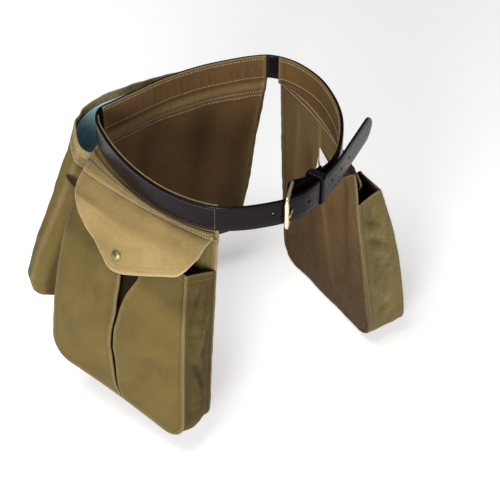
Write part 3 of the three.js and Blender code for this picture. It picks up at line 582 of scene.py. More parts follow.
def tube(name, path, normals, width, height, sides=8, closed=False, square=2.0):
    """A bar of rounded section along a line: width across the normal, height along it, even or by point."""
    path = np.asarray(path, float)
    if closed:
        along = unit(np.roll(path, -1, axis=0) - np.roll(path, 1, axis=0))
    else:
        along = unit(np.gradient(path, axis=0))
    side = unit(np.cross(along, normals))
    out = np.cross(side, along)
    turn = (np.arange(sides) + 0.5) * 2 * np.pi / sides
    c, s = np.cos(turn), np.sin(turn)
    power = 2 / square
    half_width, half_height = (np.broadcast_to(v, len(path))[:, None, None] / 2 for v in (width, height))
    points = (path[:, None] + side[:, None] * (np.sign(c) * abs(c) ** power)[None, :, None] * half_width
              + out[:, None] * (np.sign(s) * abs(s) ** power)[None, :, None] * half_height)
    count = len(path)
    index = np.arange(count * sides).reshape(count, sides)
    nxt = np.roll(index, -1, axis=1)
    ahead = np.roll(index, -1, axis=0), np.roll(nxt, -1, axis=0)
    last = count if closed else count - 1
    quads = np.stack([index[:last], nxt[:last], ahead[1][:last], ahead[0][:last]], axis=-1).reshape(-1, 4)
    points = points.reshape(-1, 3)
    faces = [quads[:, ::-1]]
    if not closed:
        base = len(points)
        points = np.vstack([points, path[:1], path[-1:]])
        blank = np.full(sides, -1)
        faces.append(np.stack([index[0], nxt[0], np.full(sides, base), blank], axis=-1))
        faces.append(np.stack([nxt[-1], index[-1], np.full(sides, base + 1), blank], axis=-1))
    return add_mesh(name, points, np.vstack(faces))


def rounded_loop(wide, tall, corner, count):
    """Even points round a rectangle with round corners, given by half its sizes."""
    points = []
    for cx, cy, first in ((1, 1, 0), (-1, 1, 90), (-1, -1, 180), (1, -1, 270)):
        turn = (first + np.linspace(0, 90, 9)) * DEGREE
        points.append(np.stack([cx * (wide - corner) + corner * np.cos(turn),
                                cy * (tall - corner) + corner * np.sin(turn)], axis=1))
    outline = np.vstack([*points, points[0][:1]])
    line = PlanLine(outline)
    return line.at(np.linspace(0, line.length, count, endpoint=False))


# Materials


class Shader:
    """A material's node tree, built a node at a time."""

    def __init__(self, name):
        self.material = bpy.data.materials.new(name)
        self.material.use_nodes = True
        self.tree = self.material.node_tree
        self.shader = self.tree.nodes["Principled BSDF"]

    def node(self, kind, settings=None, **inputs):
        made = self.tree.nodes.new(kind)
        for key, value in (settings or {}).items():
            setattr(made, key, value)
        for key, value in inputs.items():
            self.plug(made.inputs[key.replace("_", " ")], value)
        return made

    def plug(self, socket, value):
        if isinstance(value, bpy.types.NodeSocket):
            self.tree.links.new(value, socket)
        else:
            socket.default_value = value

    def noise(self, scale, detail=4.0, roughness=0.55, stretch=None):
        where = self.node("ShaderNodeTexCoord").outputs["Object"]
        if stretch:
            where = self.node("ShaderNodeMapping", Vector=where, Scale=stretch).outputs["Vector"]
        made = self.node("ShaderNodeTexNoise", Vector=where, Scale=scale, Detail=detail, Roughness=roughness)
        return made.outputs["Fac"]

    def spread(self, value, low, high, to_low=0.0, to_high=1.0):
        made = self.node("ShaderNodeMapRange", Value=value)
        for key, number in (("From Min", low), ("From Max", high), ("To Min", to_low), ("To Max", to_high)):
            made.inputs[key].default_value = number
        return made.outputs["Result"]

    def maths(self, operation, a, b=0.0):
        made = self.node("ShaderNodeMath", {"operation": operation})
        self.plug(made.inputs[0], a)
        self.plug(made.inputs[1], b)
        return made.outputs["Value"]

    def blend(self, share, a, b):
        made = self.node("ShaderNodeMix", {"data_type": "RGBA"})
        self.plug(made.inputs["Factor"], share)
        for socket, value in ((made.inputs[6], a), (made.inputs[7], b)):
            self.plug(socket, (*value, 1.0) if isinstance(value, tuple) else value)
        return made.outputs[2]

    def attribute(self, name):
        return self.node("ShaderNodeAttribute", {"attribute_name": name}).outputs["Fac"]

    def bumps(self, height, distance, strength=1.0, before=None):
        made = self.node("ShaderNodeBump", Height=height)
        made.inputs["Distance"].default_value = distance
        made.inputs["Strength"].default_value = strength
        if before is not None:
            self.plug(made.inputs["Normal"], before)
        return made.outputs["Normal"]

    def finish(self, **inputs):
        for key, value in inputs.items():
            socket = self.shader.inputs[key.replace("_", " ")]
            self.plug(socket, (*value, 1.0) if isinstance(value, tuple) and len(value) == 3 else value)
        return self.material


YARN_SCALE = 380.0


def weave(made):
    """The height of a plain weave in the cloth's own measures."""
    where = made.node("ShaderNodeUVMap", {"uv_map": "cloth"}).outputs["UV"]
    waves = [
        made.node("ShaderNodeTexWave", {"bands_direction": way}, Vector=where, Scale=YARN_SCALE,
                  Distortion=1.2, Detail=2.0).outputs["Fac"]
        for way in ("X", "Y")
    ]
    return made.maths("ADD", waves[0], waves[1])


def canvas_material(name, body, worn, wear_share=0.75):
    """Waxed canvas of a body colour, paler where it rubs and where light is painted on, and darker where shade is
    painted into creases, seams, hollows and the parts under others.
    """
    made = Shader(name)
    dark, light = (tuple(c * share for c in body) for share in (0.74, 1.24))
    broad = made.spread(made.noise(15.0, 5.0, 0.6), 0.38, 0.62)
    blotch = made.spread(made.noise(60.0, 5.0, 0.62), 0.38, 0.66)
    grain = made.noise(520.0, 4.0, 0.7)
    tone = made.blend(broad, dark, light)
    tone = made.blend(made.spread(blotch, 0, 1, 0.1, 0.6), tone, body)
    speck = made.spread(grain, 0.35, 0.65, 0.0, 0.5)
    tone = made.blend(speck, tone, dark)
    fleck = made.spread(made.noise(210.0, 5.0, 0.7, (1.0, 1.0, 0.6)), 0.5, 0.72, 0.0, 0.35)
    tone = made.blend(fleck, tone, light)
    scuff = made.spread(made.noise(240.0, 4.0, 0.7), 0.35, 0.62)
    # The wear mark pales the cloth where it rubs, and in a few places it is painted light.
    wear_and_painted_light = made.maths("MULTIPLY", made.attribute("wear_and_painted_light"), made.spread(scuff, 0, 1, 0.45, 1.0))
    tone = made.blend(made.maths("MULTIPLY", wear_and_painted_light, wear_share), tone, worn)
    # Painted shade: the shade mark darkens the cloth towards a tenth of its body colour where shade falls.
    tone = made.blend(made.attribute("painted_shade"), tone, tuple(c * 0.1 for c in body))
    first = made.bumps(weave(made), 0.00018, 0.7)
    second = made.bumps(made.noise(170.0, 4.0, 0.6), 0.0012, 0.4, first)
    third = made.bumps(made.noise(48.0, 3.0, 0.5), 0.005, 0.22, second)
    rough = made.spread(blotch, 0, 1, 0.6, 0.84)
    return made.finish(Base_Color=tone, Roughness=rough, Normal=third, Specular_IOR_Level=0.12)


def leather_material(name, body, rim, roughness):
    made = Shader(name)
    clouds = made.spread(made.noise(45.0, 4.0), 0.35, 0.68)
    tone = made.blend(clouds, body, tuple(c * 1.35 for c in body))
    tone = made.blend(made.attribute("wear_and_painted_light"), tone, rim)
    pores = made.noise(1500.0, 3.0, 0.65)
    pull = made.noise(260.0, 5.0, 0.6)
    first = made.bumps(pores, 0.0001, 0.5)
    second = made.bumps(pull, 0.00035, 0.35, first)
    rough = made.spread(pull, 0.3, 0.7, roughness - 0.07, roughness + 0.1)
    return made.finish(Base_Color=tone, Roughness=rough, Normal=second, Specular_IOR_Level=0.1,
                       Coat_Weight=0.03, Coat_Roughness=0.2)


def metal_material(name, bright, dull, roughness):
    made = Shader(name)
    tarnish = made.spread(made.noise(210.0, 5.0, 0.65), 0.42, 0.7)
    scratches = made.noise(800.0, 2.0, 0.5, (1.0, 0.12, 1.0))
    tone = made.blend(tarnish, bright, dull)
    rough = made.spread(tarnish, 0, 1, roughness, roughness + 0.22)
    bumps = made.bumps(scratches, 0.00005, 0.3)
    return made.finish(Base_Color=tone, Roughness=rough, Normal=bumps, Metallic=1.0)


def thread_material(name, colour):
    made = Shader(name)
    tone = made.blend(made.spread(made.noise(400.0), 0.35, 0.65), colour, tuple(c * 0.62 for c in colour))
    bumps = made.bumps(made.noise(3000.0), 0.00006, 0.6)
    return made.finish(Base_Color=tone, Roughness=0.72, Normal=bumps)


def lining_material(name, dark, light):
    made = Shader(name)
    tone = made.blend(made.spread(made.noise(26.0, 5.0), 0.35, 0.65), dark, light)
    creases = made.noise(55.0, 5.0, 0.6)
    first = made.bumps(weave(made), 0.00006, 0.35)
    second = made.bumps(creases, 0.004, 0.35, first)
    rough = made.spread(creases, 0.3, 0.7, 0.34, 0.55)
    return made.finish(Base_Color=tone, Roughness=rough, Normal=second)


def label_material(name, colour):
    made = Shader(name)
    tone = made.blend(made.spread(made.noise(90.0), 0.35, 0.65), colour, tuple(c * 0.86 for c in colour))
    bumps = made.bumps(weave(made), 0.0001, 0.4)
    return made.finish(Base_Color=tone, Roughness=0.7, Normal=bumps)


OUTSIDE = canvas_material("waxed_canvas", (0.132, 0.092, 0.027), (0.38, 0.3, 0.16))
# A lighter copy of the outside canvas for the closed flap: painted light for its upward-turned face.
FLAP_PAINTED_LIGHT_CANVAS = canvas_material("waxed_canvas_flap_painted_light", (0.32, 0.222, 0.086), (0.5, 0.4, 0.23))
# The browner reverse side of the canvas, darkened further as painted shade for faces that turn in towards the loop;
# the game bag's inner panel has its own shaded copy.
INSIDE_WITH_PAINTED_SHADE = canvas_material("waxed_canvas_inside_painted_shade", (0.116, 0.062, 0.019), (0.29, 0.21, 0.1))
BAG_INSIDE_WITH_PAINTED_SHADE = canvas_material("waxed_canvas_bag_painted_shade", (0.132, 0.07, 0.026), (0.34, 0.25, 0.11))
LEATHER = leather_material("bridle_leather", (0.005, 0.0027, 0.004), (0.002, 0.0015, 0.002), 0.25)
BRASS = metal_material("buckle_brass", (0.95, 0.8, 0.5), (0.76, 0.62, 0.36), 0.3)
SNAP = metal_material("snap_brass", (0.3, 0.27, 0.13), (0.13, 0.125, 0.06), 0.4)
CREAM = thread_material("cream_thread", (0.62, 0.54, 0.38))
DARK_THREAD = thread_material("dark_thread", (0.3, 0.23, 0.21))
TAN_THREAD = thread_material("tan_thread", (0.4, 0.31, 0.15))
TEAL = lining_material("waterproof_lining", (0.27, 0.46, 0.5), (0.42, 0.62, 0.68))
LABEL_CLOTH = label_material("label_cloth", (0.98, 0.91, 0.92))

# The strap

STRAP_CELL = 2.6
CREASE_INSET = 2.6
CREASE_DEPTH = 0.28


def strap_path():
    """The strap's middle line from its tip to the end of its fold, as plan points."""
    start = BUCKLE_AT - FREE_END_LENGTH - 4.0
    run = LOOP_LINE.at(np.arange(start, LOOP_LINE.length, STRAP_CELL))
    turn = np.linspace(0, np.pi, 13)[1:, None]
    wrap = HEEL_BAR + ARRIVE_SIDE * WRAP_RADIUS * np.cos(turn) + ARRIVE * WRAP_RADIUS * np.sin(turn)
    t = np.linspace(0, 1, 21)[1:]
    inward = mix(2 * WRAP_RADIUS, BELT_THICKNESS + SEAM_GAP, smooth(t * 2.2))
    back = on_belt(HEEL_DISTANCE - FOLD_LENGTH * t, -inward)
    return np.vstack([run, wrap, back])


def tip_profile(distance):
    """Half the strap's width near its pointed tip."""
    t = np.linspace(0, 1, 30)
    x = 2 * t * (1 - t) * TIP_LENGTH * 0.22 + t * t * TIP_LENGTH
    y = (1 - t) ** 2 * TIP_POINT + 2 * t * (1 - t) * HALF_BELT * 0.78 + t * t * HALF_BELT
    return np.interp(distance, x, y)


def strap_section():
    """Shares of the half width, and of the thickness, round the strap; with how worn each is."""
    edge = BELT_THICKNESS * 0.36 / HALF_BELT
    crease = CREASE_INSET / HALF_BELT
    groove = CREASE_DEPTH / BELT_THICKNESS
    face = [(-1 + edge, 0.46), (-1 + crease - 0.035, 0.5), (-1 + crease, 0.5 - groove),
            (-1 + crease + 0.035, 0.5), (-0.5, 0.5), (0.0, 0.5), (0.5, 0.5), (1 - crease - 0.035, 0.5),
            (1 - crease, 0.5 - groove), (1 - crease + 0.035, 0.5), (1 - edge, 0.46)]
    rim = [(1 - edge * 0.35, 0.34), (1.0, 0.14), (1.0, -0.14), (1 - edge * 0.35, -0.34)]
    ring = face + rim + [(-w, -t) for w, t in face] + [(-w, -t) for w, t in rim]
    worn = [0.5, 0, 0.4, 0, 0, 0, 0, 0, 0.4, 0, 0.5, 1, 1, 1, 1]
    return np.array(ring), np.array(worn + worn, float)


def strap():
    path = strap_path()
    line = PlanLine(path)
    along = unit(np.gradient(path, axis=0))
    normal = stack(-along[:, 1], along[:, 0])
    half = tip_profile(line.reach)
    ring, worn = strap_section()
    columns = len(ring)
    plan = path[:, None] + normal[:, None] * (ring[None, :, 1:] * BELT_THICKNESS)
    height = ring[None, :, 0] * half[:, None]
    points = np.concatenate([plan, height[..., None]], axis=2).reshape(-1, 3)
    index = np.arange(len(path) * columns).reshape(len(path), columns)
    nxt = np.roll(index, -1, axis=1)
    quads = np.stack([index[:-1], nxt[:-1], nxt[1:], index[1:]], axis=-1).reshape(-1, 4)
    ends = np.array([[*path[0], 0.0], [*path[-1], 0.0]])
    base = len(points)
    blank = np.full(columns, -1)
    first = np.stack([nxt[0], index[0], np.full(columns, base), blank], axis=-1)
    last = np.stack([index[-1], nxt[-1], np.full(columns, base + 1), blank], axis=-1)
    points = np.vstack([points, ends])
    faces = np.vstack([quads, first, last])
    reach = np.repeat(line.reach, columns)
    uv = np.stack([reach, height.reshape(-1)], axis=1)
    uv = np.vstack([uv, [[0, 0], [line.length, 0]]])
    wear_and_painted_light = np.concatenate([np.tile(worn, len(path)), [1.0, 1.0]])
    return add_mesh("strap", points, faces, uv, {"wear_and_painted_light": wear_and_painted_light})


def prong_crossing():
    """Where the strap crosses the prong's shaft, measured from the buckle."""
    s = np.arange(-BAR_PITCH, BAR_PITCH, 0.25)
    along = np.array([math.cos(BUCKLE_TURN), math.sin(BUCKLE_TURN)])
    side = (on_belt(s, 0.0) - HEEL_BAR) @ np.array([-along[1], along[0]])
    centre = BAR_THICKNESS / 2 + 2 * SEAM_GAP + PRONG_THICKNESS / 2
    return s[np.argmin(abs(side - centre))]


def punched(obj):
    """The strap with its round holes cut out."""
    first = prong_crossing()
    cutters = []
    for i in range(HOLE_COUNT):
        distance = first + (HOLES_INSIDE - i) * HOLE_PITCH
        centre = on_belt(distance, 0.0)
        along = LOOP_LINE.heading(BUCKLE_AT + distance)
        bpy.ops.mesh.primitive_cylinder_add(
            vertices=20, radius=HOLE_DIAMETER / 2 * MM, depth=BELT_THICKNESS * 3 * MM,
            location=(centre[0] * MM, centre[1] * MM, 0.0),
            rotation=(math.pi / 2, 0.0, math.atan2(along[1], along[0])),
        )
        cutters.append(bpy.context.object)
    for cutter in cutters:
        cut = obj.modifiers.new("hole", "BOOLEAN")
        cut.operation = "DIFFERENCE"
        cut.solver = "MANIFOLD"
        cut.object = cutter
    bpy.context.view_layer.update()
    made = bpy.data.meshes.new_from_object(obj.evaluated_get(bpy.context.evaluated_depsgraph_get()))
    obj.modifiers.clear()
    obj.data = made
    for cutter in cutters:
        bpy.data.objects.remove(cutter)
    obj.data.set_sharp_from_angle(angle=50 * DEGREE)
    return obj


def keeper():
    """The leather loop behind the buckle, a crowned band round the free end, the strap and its fold."""
    centre = LOOP_LINE.at(BUCKLE_AT - KEEPER_DISTANCE)
    along = LOOP_LINE.heading(BUCKLE_AT - KEEPER_DISTANCE)
    away = np.array([-along[1], along[0]])
    solid = np.array([v.co[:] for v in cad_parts["belt_keeper"].data.vertices]) / MM
    depth = (solid[:, :2] - centre) @ away
    wide, tall = ((np.ptp(v) - KEEPER_THICKNESS) / 2 for v in (depth, solid[:, 2]))
    loop = rounded_loop(wide, tall, KEEPER_THICKNESS * 1.3, 110)
    tangent = unit(np.roll(loop, -1, axis=0) - np.roll(loop, 1, axis=0))
    across = np.linspace(-1, 1, 15)[:, None]
    crown = KEEPER_CROWN * (1 - across**2)
    deep = loop[:, 0] + tangent[:, 1] * crown + (depth.max() + depth.min()) / 2
    height = loop[:, 1] - tangent[:, 0] * crown
    plan = centre + away * deep[..., None] + along * (across * KEEPER_WIDTH / 2)[..., None]
    middle = stack(plan[..., 0], plan[..., 1], height)
    worn = np.broadcast_to(smooth((abs(across) - 0.8) * 5), height.shape)
    return Sheet(np.arange(len(loop)), across[:, 0], middle, KEEPER_THICKNESS, worn, ring=True).make("keeper_loop")


def buckle_place(along, side, up):
    """Points in the buckle's own axes, from its heel bar."""
    c, s = math.cos(BUCKLE_TURN), math.sin(BUCKLE_TURN)
    return stack(HEEL_BAR[0] + along * c - side * s, HEEL_BAR[1] + along * s + side * c, up)


def buckle_frame():
    wide = BAR_PITCH / 2
    tall = HALF_BELT + BUCKLE_CLEARANCE + BAR_THICKNESS / 2
    outline = rounded_loop(wide, tall, BAR_THICKNESS * 1.25, 160)
    path = buckle_place(outline[:, 0] + wide, 0.0, outline[:, 1])
    normals = np.broadcast_to(buckle_place(0.0, 1.0, 0.0) - buckle_place(0.0, 0.0, 0.0), path.shape)
    outer = smooth((outline[:, 0] - wide + 2.5) / 2.5) * smooth((tall - 4.0 - abs(outline[:, 1])) / 2.0)
    bar = mix(BAR_THICKNESS * 1.05, OUTER_BAR_WIDTH, outer)
    thick = mix(BAR_THICKNESS * 0.92, OUTER_BAR_THICKNESS, outer)
    return tube("buckle_frame_bars", path, normals, bar, thick, 18, True, 2.5)


def buckle_prong():
    inside = BAR_THICKNESS / 2 + 2 * SEAM_GAP
    centre = inside + PRONG_THICKNESS / 2
    turn = np.linspace(-200, 84, 34) * DEGREE
    ring = np.stack([centre * np.cos(turn), centre * np.sin(turn)], axis=1)
    reach = BAR_PITCH + BAR_THICKNESS * 0.8
    x = np.linspace(2.5, reach, 26)
    shaft = np.stack([x, centre + 0.5 * np.sin(np.pi * x / reach)], axis=1)
    route = np.vstack([ring, shaft])
    path = buckle_place(route[:, 0], route[:, 1], 0.0)
    up = np.broadcast_to(np.array([0.0, 0.0, 1.0]), path.shape)
    taper = np.concatenate([np.full(len(ring), 0.92), mix(1.0, 0.66, (x / reach) ** 2)])
    taper[-2:] = [0.6, 0.3]
    return tube("buckle_prong_bar", path, up, PRONG_THICKNESS * taper, PRONG_WIDTH * taper, 12, square=2.4)


dress(punched(strap()), LEATHER, "leather", "belt")
dress(keeper(), LEATHER, "leather", "belt_keeper")
dress(buckle_frame(), BRASS, "brass", "buckle_frame")
dress(buckle_prong(), BRASS, "brass", "buckle_prong")

# Pouches, in their own frame: u from front to rear, h down from the flap's hinge, n outwards


def pouch_place(name, u, h, n):
    hang = HANG[name]
    u, h, n = np.broadcast_arrays(*(np.asarray(v, float) for v in (u, h, n)))
    swing = hang["swing"] * DEGREE
    share = u / POUCH_WIDTH
    fall = np.clip(h / POUCH_HEIGHT, 0, 1)
    yaw = (hang["yaw"] + hang["twist"] * fall) * DEGREE
    bow = mix(hang["bow"], hang["bottom_bow"], fall)
    bowed = n + bow * POUCH_WIDTH * (1 - 4 * share**2)
    raised = 1 - (0.5 - share) ** 2
    lifted = h - hang["rise"] * POUCH_HEIGHT * raised * smooth(h / (MOUTH_DROP * 1.4))
    out = bowed * math.cos(swing) + lifted * math.sin(swing)
    drop = lifted * math.cos(swing) - bowed * math.sin(swing)
    back = u - h * math.sin(hang["skew"] * DEGREE)
    x = hang["across"] * LOOP_HALF[0] + hang["side"] * (np.sin(yaw) * back + np.cos(yaw) * out)
    y = hang["along"] * LOOP_HALF[1] + np.cos(yaw) * back - np.sin(yaw) * out
    band = SIDE_BAND * (share + 0.5)
    along = RIGHT_BAND_START + band if name == "right" else LEFT_BAND_FRONT - band
    w = smooth(h / (HINGE_DROP * 0.9) + 1)
    held = on_belt(along, BAND_OUT + n * (1 - w))
    return stack(mix(held[..., 0], x, w), mix(held[..., 1], y, w), mix(HINGE_Z - h, HINGE_Z - drop, w))


def half_width(half, h, inset=0.0):
    radius = POUCH_CORNER - inset
    over = h - (POUCH_HEIGHT - POUCH_CORNER)
    round_half = half - POUCH_CORNER + np.sqrt(np.maximum(0, radius**2 - np.maximum(over, 0) ** 2))
    return np.where(over <= 0, half - inset, round_half)


def body_share(h):
    """How far down the pouch's body a height is, from its mouth to its bottom."""
    return np.clip((h - MOUTH_DROP) / BODY_HEIGHT, 0, 1)


def front_half(h):
    return POUCH_WIDTH / 2 - FRONT_INSET * (1 - body_share(h))


def front_depth(name, u, h):
    share = body_share(h)
    mouth = mix(MOUTH_DEPTH_FRONT, MOUTH_DEPTH_REAR, u / POUCH_WIDTH + 0.5)
    puff = mix(*EDGE_PUFF[name], u / POUCH_WIDTH + 0.5)
    belly = BELLY * np.maximum(0, 1 - (2 * u / POUCH_WIDTH) ** 2) + puff
    return mix(mouth, BOTTOM_DEPTH, share) + belly * np.sin(np.pi * share)


def rows_to_bottom(top):
    """Heights from a top row to the pouch's bottom, closer together round the corner."""
    low = POUCH_HEIGHT - POUCH_CORNER
    turn = np.linspace(0, 90, 19)[1:] * DEGREE
    return np.concatenate([spaced(top, low), low + POUCH_CORNER * np.sin(turn)])


def edge_share(value, edge, width):
    """One at an edge, falling to nothing a width away from it."""
    return smooth(1 - abs(value - edge) / width)


def welts(h):
    """The two ridges of the seam below the belt."""
    return sum(WELT_HEIGHT * bump((h - middle) / WELT_WIDTH + 0.5) for middle in WELTS)


class Pouch:
    """One pouch: its cloth pieces, seams, stitching and snap."""

    def __init__(self, name):
        self.name = name
        self.side = HANG[name]["side"]
        self.seed = 11 if name == "right" else 23
        self.tan_rows, self.cream_rows = Stitching(), Stitching()
        self.outwards = self.place(0, POUCH_HEIGHT / 2, 50.0) - self.place(0, POUCH_HEIGHT / 2, 0.0)
        self.make_back()
        self.make_front()
        self.make_gusset()
        self.make_seams()
        self.make_flap()
        self.make_snap()
        dress(self.tan_rows.make(f"{name}_pouch_stitching", radius=0.36), TAN_THREAD, "canvas")
        dress(self.cream_rows.make(f"{name}_pouch_band_stitching"), CREAM, "canvas")

    def place(self, u, h, n):
        return pouch_place(self.name, u, h, n)

    def back_n(self, u, h):
        body = smooth(h / 30)
        below = smooth((h - MOUTH_DROP) / 60)
        soft = rumple(u, h, self.seed, 90, 0.15, 0.35) * 1.6 * body
        fine = rumple(u, h, self.seed + 1, 24) * 0.5 * body
        crease = folds(u, h, BACK_FOLDS[self.name]) * body
        pillow = 1.3 * bump(h / HINGE_DROP + 1) * (0.6 + 0.4 * np.sin(u / 19.0))
        hollow = below * np.sin(np.pi * np.clip(h / POUCH_HEIGHT, 0, 1)) * (1 - (2 * u / POUCH_WIDTH) ** 2)
        return soft + fine - crease - pillow - welts(h) - 2.5 * hollow

    def make_back(self):
        down = np.concatenate([spaced(BAND_TOP, -30.0), spaced(-29.0, 6.0, 0.9), rows_to_bottom(7.5)])
        across = np.linspace(-1, 1, 101)
        h = down[:, None]
        u = across * half_width(POUCH_WIDTH / 2, h)
        rim = edge_share(abs(across), 1.0, 0.05)
        crease = folds(u, h, BACK_FOLDS[self.name]) / 2.6
        ridge = welts(h) / WELT_HEIGHT
        # Wear pales the side edges, fold ridges, welts and band top; the last term is painted light, brightening the
        # back below the hinge where the belt shades it.
        wear_and_painted_light = np.clip(edge_share(abs(across), 1.0, 0.03) + 0.4 * crease + 0.55 * ridge
                       + 0.5 * edge_share(h, BAND_TOP, 3) + 0.3 * (h > 0) * smooth((130 - h) / 90), 0, 1)
        valley = sum(edge_share(h, middle + WELT_WIDTH * 0.7, 1.6) for middle in WELTS)
        # Painted shade: darker by the side seams, in fold hollows, under the welts, along the hinge and towards the
        # bottom.
        painted_shade = np.clip(0.35 * edge_share(abs(across), 0.93, 0.02) + 0.3 * np.maximum(0, -crease)
                       + 0.45 * valley + 0.3 * edge_share(h, -HINGE_DROP, 2.5)
                       + 0.5 * smooth((h - 60) / 200), 0, 1)
        hem = 0.8 * rim * (h > -HINGE_DROP)
        self.back = Sheet(across, down, self.place(u, h, self.back_n(u, h)), CANVAS + hem, wear_and_painted_light, painted_shade)
        # The tucked pouch's back panel shows the browner reverse side, darkened further as painted shade.
        material = INSIDE_WITH_PAINTED_SHADE if self.name == TUCKED else OUTSIDE
        self.back.hang(f"{self.name}_pouch_back_cloth", material, "canvas", f"{self.name}_pouch_back_panel")
        line = np.linspace(-0.985, 0.985, 160)
        inner = -self.back.outward(self.outwards)
        for row in (BAND_TOP + 4.5, -HINGE_DROP - 4.0, *WELTS):
            self.cream_rows.row(*self.back.point(line, row, inner))
        fall = np.linspace(4, POUCH_HEIGHT - POUCH_CORNER, 120)
        for edge in (-0.955, 0.955):
            for face in (inner, -inner):
                self.tan_rows.row(*self.back.point(edge, fall, face))

    def front_n(self, u, h):
        share = body_share(h)
        body = smooth(share * 5) * smooth((1 - share) * 7)
        edge = smooth((1 - abs(u) / front_half(h)) * 6)
        soft = rumple(u, h, self.seed + 2, 85) * 2.0 * body * edge
        fine = rumple(u, h, self.seed + 3, 26) * 0.6 * body
        crease = folds(u, h, FRONT_FOLDS[self.name]) * body * edge
        return front_depth(self.name, u, h) + soft + fine + crease

    def mouth_sag(self, u, h):
        """How far the front panel's open edge sinks between its ends."""
        between = np.sin(np.pi * np.clip(u / POUCH_WIDTH + 0.5, 0, 1))
        return MOUTH_SAG[self.name] * between * smooth(1 - 3 * body_share(h))

    def front_columns(self, down):
        """Places across the front panel at each height, with the pleat's depth, lip, wear and painted shade there."""
        share = body_share(down)[:, None]
        gap = PLEAT_OPENING * np.interp(share, PLEAT["drop"], PLEAT["gap"])
        centre = POUCH_WIDTH / 2 * np.interp(share, PLEAT["drop"], PLEAT["shift"])
        half = half_width(front_half(down), down)[:, None]
        shut = 1 - smooth((share - 0.93) * 14)
        wall = {key: np.array(column) for key, column in PLEAT_WALL.items()}
        past = wall["past"] * np.where(wall["deep"] > 0, shut, 1.0)
        lap = PLEAT_LAP * (1 - smooth(1.6 * gap / PLEAT_OPENING)) * shut
        plain = np.linspace(0, 1, 47)[1:]
        left, right = (
            np.hstack([walls, mix(walls[:, -1:], side * half, plain)])
            for side, walls in ((-1, centre - gap * wall["share"] - past),
                                (1, centre + gap * wall["share"] + past - lap * wall["lip"]))
        )
        blank = np.zeros(len(plain))
        deep, worn, painted_shade, lip = (np.concatenate([wall[key], blank]) for key in ("deep", "worn", "painted_shade", "lip"))
        both = [np.concatenate([column[:0:-1], column]) for column in (deep, worn, painted_shade)]
        raised = np.concatenate([0 * lip[:0:-1], lip]) * lap * 0.8
        return np.hstack([left[:, :0:-1], right]), half, PLEAT_DEPTH * both[0] * shut - raised, both[1], both[2] * shut

    def make_front(self):
        down = rows_to_bottom(MOUTH_DROP)
        u, half, deep, worn, painted_shade = self.front_columns(down)
        h = down[:, None]
        n = self.front_n(u, h) - deep
        rim = edge_share(abs(u / half), 1.0, 0.035)
        hem = 1.0 * smooth((22 - (h - MOUTH_DROP)) / 2.0)
        wear_and_painted_light = np.clip(worn + 0.5 * rim + 0.6 * edge_share(h, MOUTH_DROP, 4)
                       + 0.5 * edge_share(h, POUCH_HEIGHT, 7), 0, 1)
        # Painted shade under the flap and along the side seams, added to the pleat's painted shade.
        below_flap = 0.28 * smooth((FLAP_LENGTH + 14 - h) / 24)
        painted_shade = np.clip(painted_shade + 0.3 * edge_share(abs(u / half), 0.955, 0.03) + below_flap, 0, 1)
        count = np.linspace(-1, 1, u.shape[1])
        self.front = Sheet(count, down, self.place(u, h + self.mouth_sag(u, h), n), CANVAS + hem, wear_and_painted_light, painted_shade)
        self.front.hang(f"{self.name}_pouch_front_cloth", OUTSIDE, "canvas", f"{self.name}_pouch_front_panel")
        out = self.front.outward(self.outwards)
        fall = np.linspace(MOUTH_DROP + 1, POUCH_HEIGHT - 2, 150)
        for edge in (count[2], count[-3]):
            self.tan_rows.row(*self.front.point(edge, fall, out))
        line = np.linspace(-0.97, 0.97, 120)
        self.tan_rows.row(*self.front.point(line, MOUTH_DROP + 9.0, out))

    def make_gusset(self):
        low = POUCH_HEIGHT - POUCH_CORNER
        sides = spaced(MOUTH_DROP, low)
        turn = np.linspace(0, 90, 15)[1:-1]
        bottom = spaced(-(POUCH_WIDTH / 2 - POUCH_CORNER), POUCH_WIDTH / 2 - POUCH_CORNER)
        shares = bottom / (POUCH_WIDTH / 2 - POUCH_CORNER)
        stops = [(-1, h, None, None) for h in sides] + [(-1, None, t, None) for t in turn]
        stops += [(None, None, 90, b) for b in shares]
        stops += [(1, None, t, None) for t in turn[::-1]] + [(1, h, None, None) for h in sides[::-1]]
        v = np.linspace(0, 1, 29)[:, None]
        gap = CANVAS + SEAM_GAP / 2
        u_all, h_all = [], []
        for side, height, angle, share in stops:
            inset = CANVAS / 2 + GUSSET_SAG * 4 * v * (1 - v)
            radius = POUCH_CORNER - inset
            h = np.full_like(v, height) if height is not None else low + radius * np.sin((angle or 0) * DEGREE)
            half = mix(POUCH_WIDTH / 2, front_half(h), v)
            width = half_width(half, h, inset) if side else half - POUCH_CORNER
            u_all.append((side if side else share) * width)
            h_all.append(h)
        u, h = np.hstack(u_all), np.hstack(h_all)
        run = np.arange(u.shape[1]) * CELL
        mouth = np.minimum(run, run[-1] - run)
        inner = np.sin(np.pi * v)
        hang = inner * smooth(mouth / 30)
        bellows = GUSSET_PUFF[self.name] * hang * np.exp(-(((v - 0.52) / 0.3) ** 2))
        across = v * BOTTOM_DEPTH
        creases = folds(run[None, :], across, GUSSET_FOLDS[self.name])
        wrinkle = (rumple(run[None, :], across, self.seed + 5, 30, 0.5, 0.35) * GUSSET_WRINKLE[self.name]
                   + rumple(run[None, :], across, self.seed + 6, 13) * 0.4 + creases) * hang
        ear = EAR_BULGE[self.name] * inner * smooth((26 - (run[-1] - run)) / 26)
        on_side = abs(u) > POUCH_WIDTH / 2 - POUCH_CORNER - 12
        u = u + np.sign(u) * ((bellows + wrinkle) * np.where(on_side, 1.0, 0.35) + ear)
        slant = MOUTH_SLANT[self.name] * (1 - v) * smooth((26 - mouth) / 26)
        n = mix(gap, front_depth(self.name, u, h) - gap, v)
        hem = 0.9 * smooth((20 - mouth) / 2.0)
